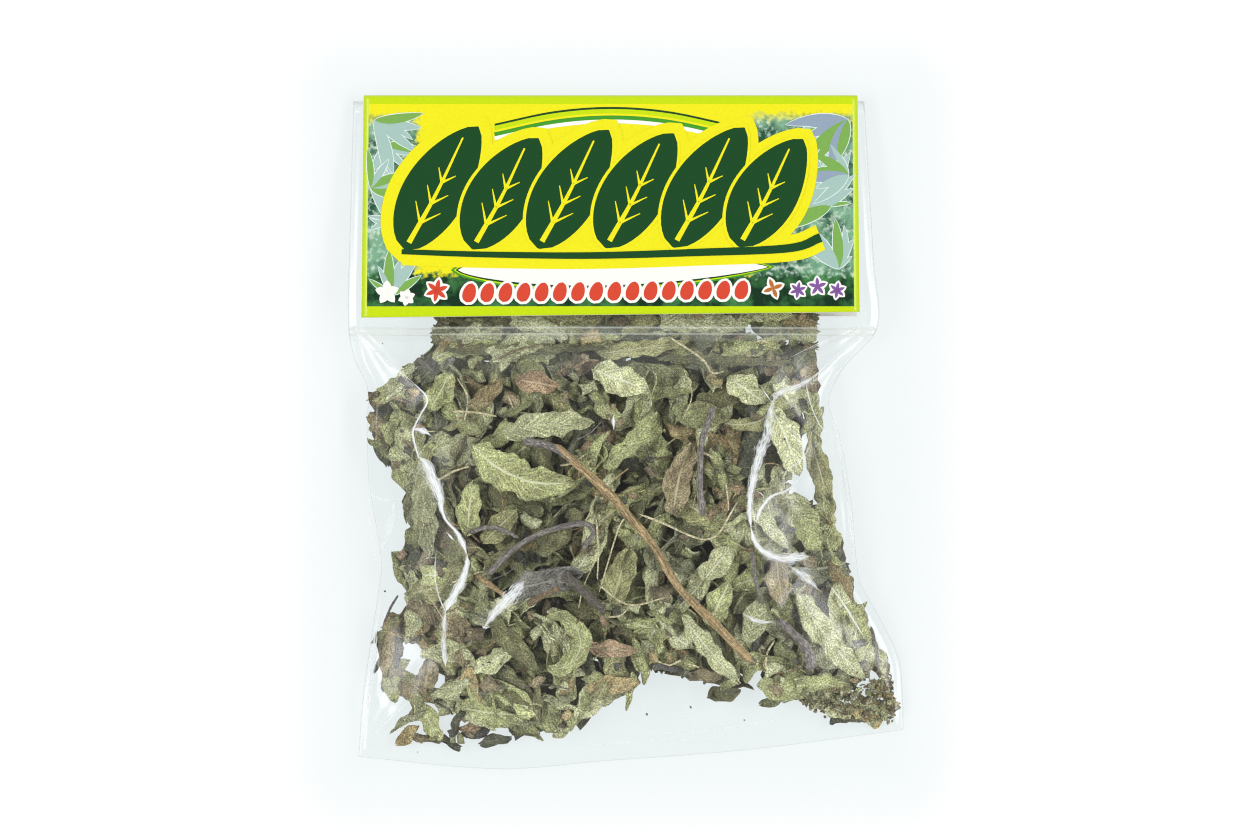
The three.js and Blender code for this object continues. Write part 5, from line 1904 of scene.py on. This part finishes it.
# %% The sprig
halo, sprig = new_sheet(), new_sheet()
ink_band(halo, STALK, (3.8, 3.8), 13)
ink_band(sprig, STALK, (0.7, 1.3), 27)
for k, (x, share) in enumerate(SPRIG_LEAVES):
    long = LEAF_LONG * share
    shared = {"yaw": YAW, "long": long, "wide": LEAF_WIDE, "bend": -14, "blunt": 0.62}
    ink_leaf(halo, (x, BASE_Y), level=13.2 + 0.2 * k, grow=HALO, **shared)
    ink_leaf(sprig, (x, BASE_Y), level=16 + 2 * k, grow=OUTLINE, finish=1, **shared)
    ink_leaf(sprig, (x, BASE_Y), level=17 + 2 * k, **shared)
    far, turn = RIB_ENDS_AT * long, math.radians(YAW)
    tip = (x + far * math.cos(turn), BASE_Y + far * math.sin(turn))
    rib = route([(x + 1, BASE_Y + 2), ((x + tip[0]) / 2 + 0.6, (BASE_Y + tip[1]) / 2), tip], 10)
    ink_band(sprig, rib, (0.75, 0.25), 29, finish=1, steps=16)
    sprig_veins(sprig, rib)
print_piece("print_halo", halo, ["yellow"])
print_piece("print_sprig", sprig, ["dark_green", "yellow"])

# %% Beads and blossoms
BAND_PRINT_INKS = ["white", "red", "orange", "violet"]
BEADS, BEADS_FROM, BEADS_TO = 16, -43.5, 33
BEAD = {"yaw": 74, "blunt": 0.45, "fine": (14, 6)}
BLOSSOMS = [
    # x, y, petals, size, ink
    (-67, 38.6, 5, 3.2, "white"), (-61.5, 37.2, 6, 2.2, "white"), (-53, 39, 6, 3.6, "red"),
    (41.5, 38.6, 4, 3.2, "orange"), (48.5, 38, 6, 2.6, "violet"), (54, 39, 5, 2.9, "violet"),
    (59.5, 37.8, 6, 2.6, "violet"),
]

beads = new_sheet()
for k in range(BEADS):
    x = mix(BEADS_FROM, BEADS_TO, k / (BEADS - 1))
    ink_leaf(beads, (x - 1.3, 34.9), long=6.9, wide=5.3, level=15 + 0.05 * k, **BEAD)
    ink_leaf(beads, (x - 1.1, 35.6), long=5.5, wide=3.7, level=17, finish=1, **BEAD)
for x, y, petals, size, ink in BLOSSOMS:
    finish = BAND_PRINT_INKS.index(ink)
    for petal in range(petals):
        yaw = 360 * petal / petals + 20
        ink_leaf(beads, (x, y), yaw, size, size * 0.6, 15 + 0.1 * petal, grow=0.3, fine=(8, 4))
        ink_leaf(beads, (x, y), yaw, size * 0.9, size * 0.36, 16, finish=finish, fine=(8, 4))
print_piece("print_beads", beads, BAND_PRINT_INKS)

# %% [markdown]
# ## Light and table
#
# The packet lies on an opal sheet lit from below, so no hard shadow frames it, and the clear film
# shows pale. A soft shadow round the packet is painted onto the sheet. Two long soft strips at its
# sides graze it, which picks out the creases of the film and the veins of the leaves, and a pale sky
# fills the shadows. The sky is brighter near the horizon, so that film that stands steeply has
# something to reflect.

# %% Two soft strips
STRIP_AWAY = 1.5  # m
STRIP_SIZE = (1.7, 0.27)
STRIP_POWER = 20  # W
STRIP_TILT = 52  # degrees from straight up


def soft_strip(name, azimuth):
    lamp = bpy.data.lights.new(name, "AREA")
    lamp.shape = "RECTANGLE"
    lamp.size, lamp.size_y = STRIP_SIZE
    lamp.energy = STRIP_POWER
    light = bpy.data.objects.new(name, lamp)
    bpy.context.collection.objects.link(light)
    turn, tilt = math.radians(azimuth), math.radians(STRIP_TILT)
    way = Vector((math.sin(tilt) * math.cos(turn), math.sin(tilt) * math.sin(turn), math.cos(tilt)))
    light.location = way * STRIP_AWAY
    light.rotation_euler = (-way).to_track_quat("-Z", "Y").to_euler()
    light.visible_camera = False


soft_strip("left strip", 180)
soft_strip("right strip", 0)
print("strips:", STRIP_SIZE, "m")

# %% Pale sky
world = bpy.data.worlds.new("studio")
bpy.context.scene.world = world
world.use_nodes = True
sky = world.node_tree
up = node(sky, "SeparateXYZ", node(sky, "TexCoord", out="Generated"), out="Z")
glow = node(sky, "MapRange", up, 0.5, 0.8, 0.85, 0.3)  # from 30 to 53 degrees up it gets dimmer
sky.links.new(glow, sky.nodes["Background"].inputs["Strength"])
sky.nodes["Background"].inputs["Color"].default_value = (1, 1, 1, 1)
print("sky:", world.name)

# %% Finish: opal table
TABLE_GLOW = (0.835, 0.84, 0.84, 1)
# A painted shadow: the glow is dimmer and cooler within SHADE_SOFT of the packet's box.
PAINTED_SHADOW_GLOW = (0.733, 0.778, 0.783, 1)  # round the packet
SHADE_BOX, SHADE_SOFT = (76, 94), 26  # mm


def table_finish():
    """An opal sheet lit from below, with a painted shadow that makes it a little dimmer and cooler round the
    packet.
    """
    tree = new_finish("opal table")
    place = node(tree, "TexCoord", out="Object")
    x, y, _ = node(tree, "SeparateXYZ", place, out=None).outputs
    outside = []
    for at, half in zip((x, y), SHADE_BOX):
        far = node(tree, "Math", at, operation="ABSOLUTE")
        far = node(tree, "Math", far, half * MM, operation="SUBTRACT")
        outside.append(node(tree, "Math", far, 0.0, operation="MAXIMUM"))
    away = node(tree, "VectorMath", node(tree, "CombineXYZ", *outside), operation="LENGTH", out="Value")
    share = node(tree, "MapRange", away, From_Max=SHADE_SOFT * MM, interpolation_type="SMOOTHSTEP")
    glow = node(tree, "Mix", share, data_type="RGBA", _6=PAINTED_SHADOW_GLOW, _7=TABLE_GLOW, out=2)
    top = node(
        tree, "BsdfPrincipled", Base_Color=linear("595959"), Roughness=0.8,
        Emission_Color=glow, Emission_Strength=1,
    )
    node(tree, "OutputMaterial", top, out=None)
    return bpy.data.materials["opal table"]


# %% The table
FLOOR_HALF = 2.5  # m
FLOOR_BELOW = 0.3  # mm under the packet, so that no two faces lie in one plane
EYE_SOFTNESS = 1.1  # pixels over which the picture blends, close to a lens's own softness

bm = bmesh.new()
bmesh.ops.create_grid(bm, x_segments=1, y_segments=1, size=FLOOR_HALF)
bmesh.ops.translate(bm, verts=bm.verts, vec=(0, 0, -FLOOR_BELOW * MM))
floor_mesh = bpy.data.meshes.new("floor")
bm.to_mesh(floor_mesh)
bm.free()
floor_mesh.materials.append(table_finish())
floor = bpy.data.objects.new("floor", floor_mesh)
bpy.context.collection.objects.link(floor)
floor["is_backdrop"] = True
bpy.context.scene.cycles.filter_width = EYE_SOFTNESS
bpy.context.scene.view_settings.view_transform = "Standard"
print("table:", 2 * FLOOR_HALF, "m wide")

# %% [markdown]
# ## Sizes, and the end
#
# The finished pieces are measured next to the CAD's, which shows at once if one has grown or
# lies elsewhere.

# %% Sizes, and the end
seen_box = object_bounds()
print("sizes:", [[round(c / MM, 1) for c in v] for v in (*cad_box, *seen_box)])
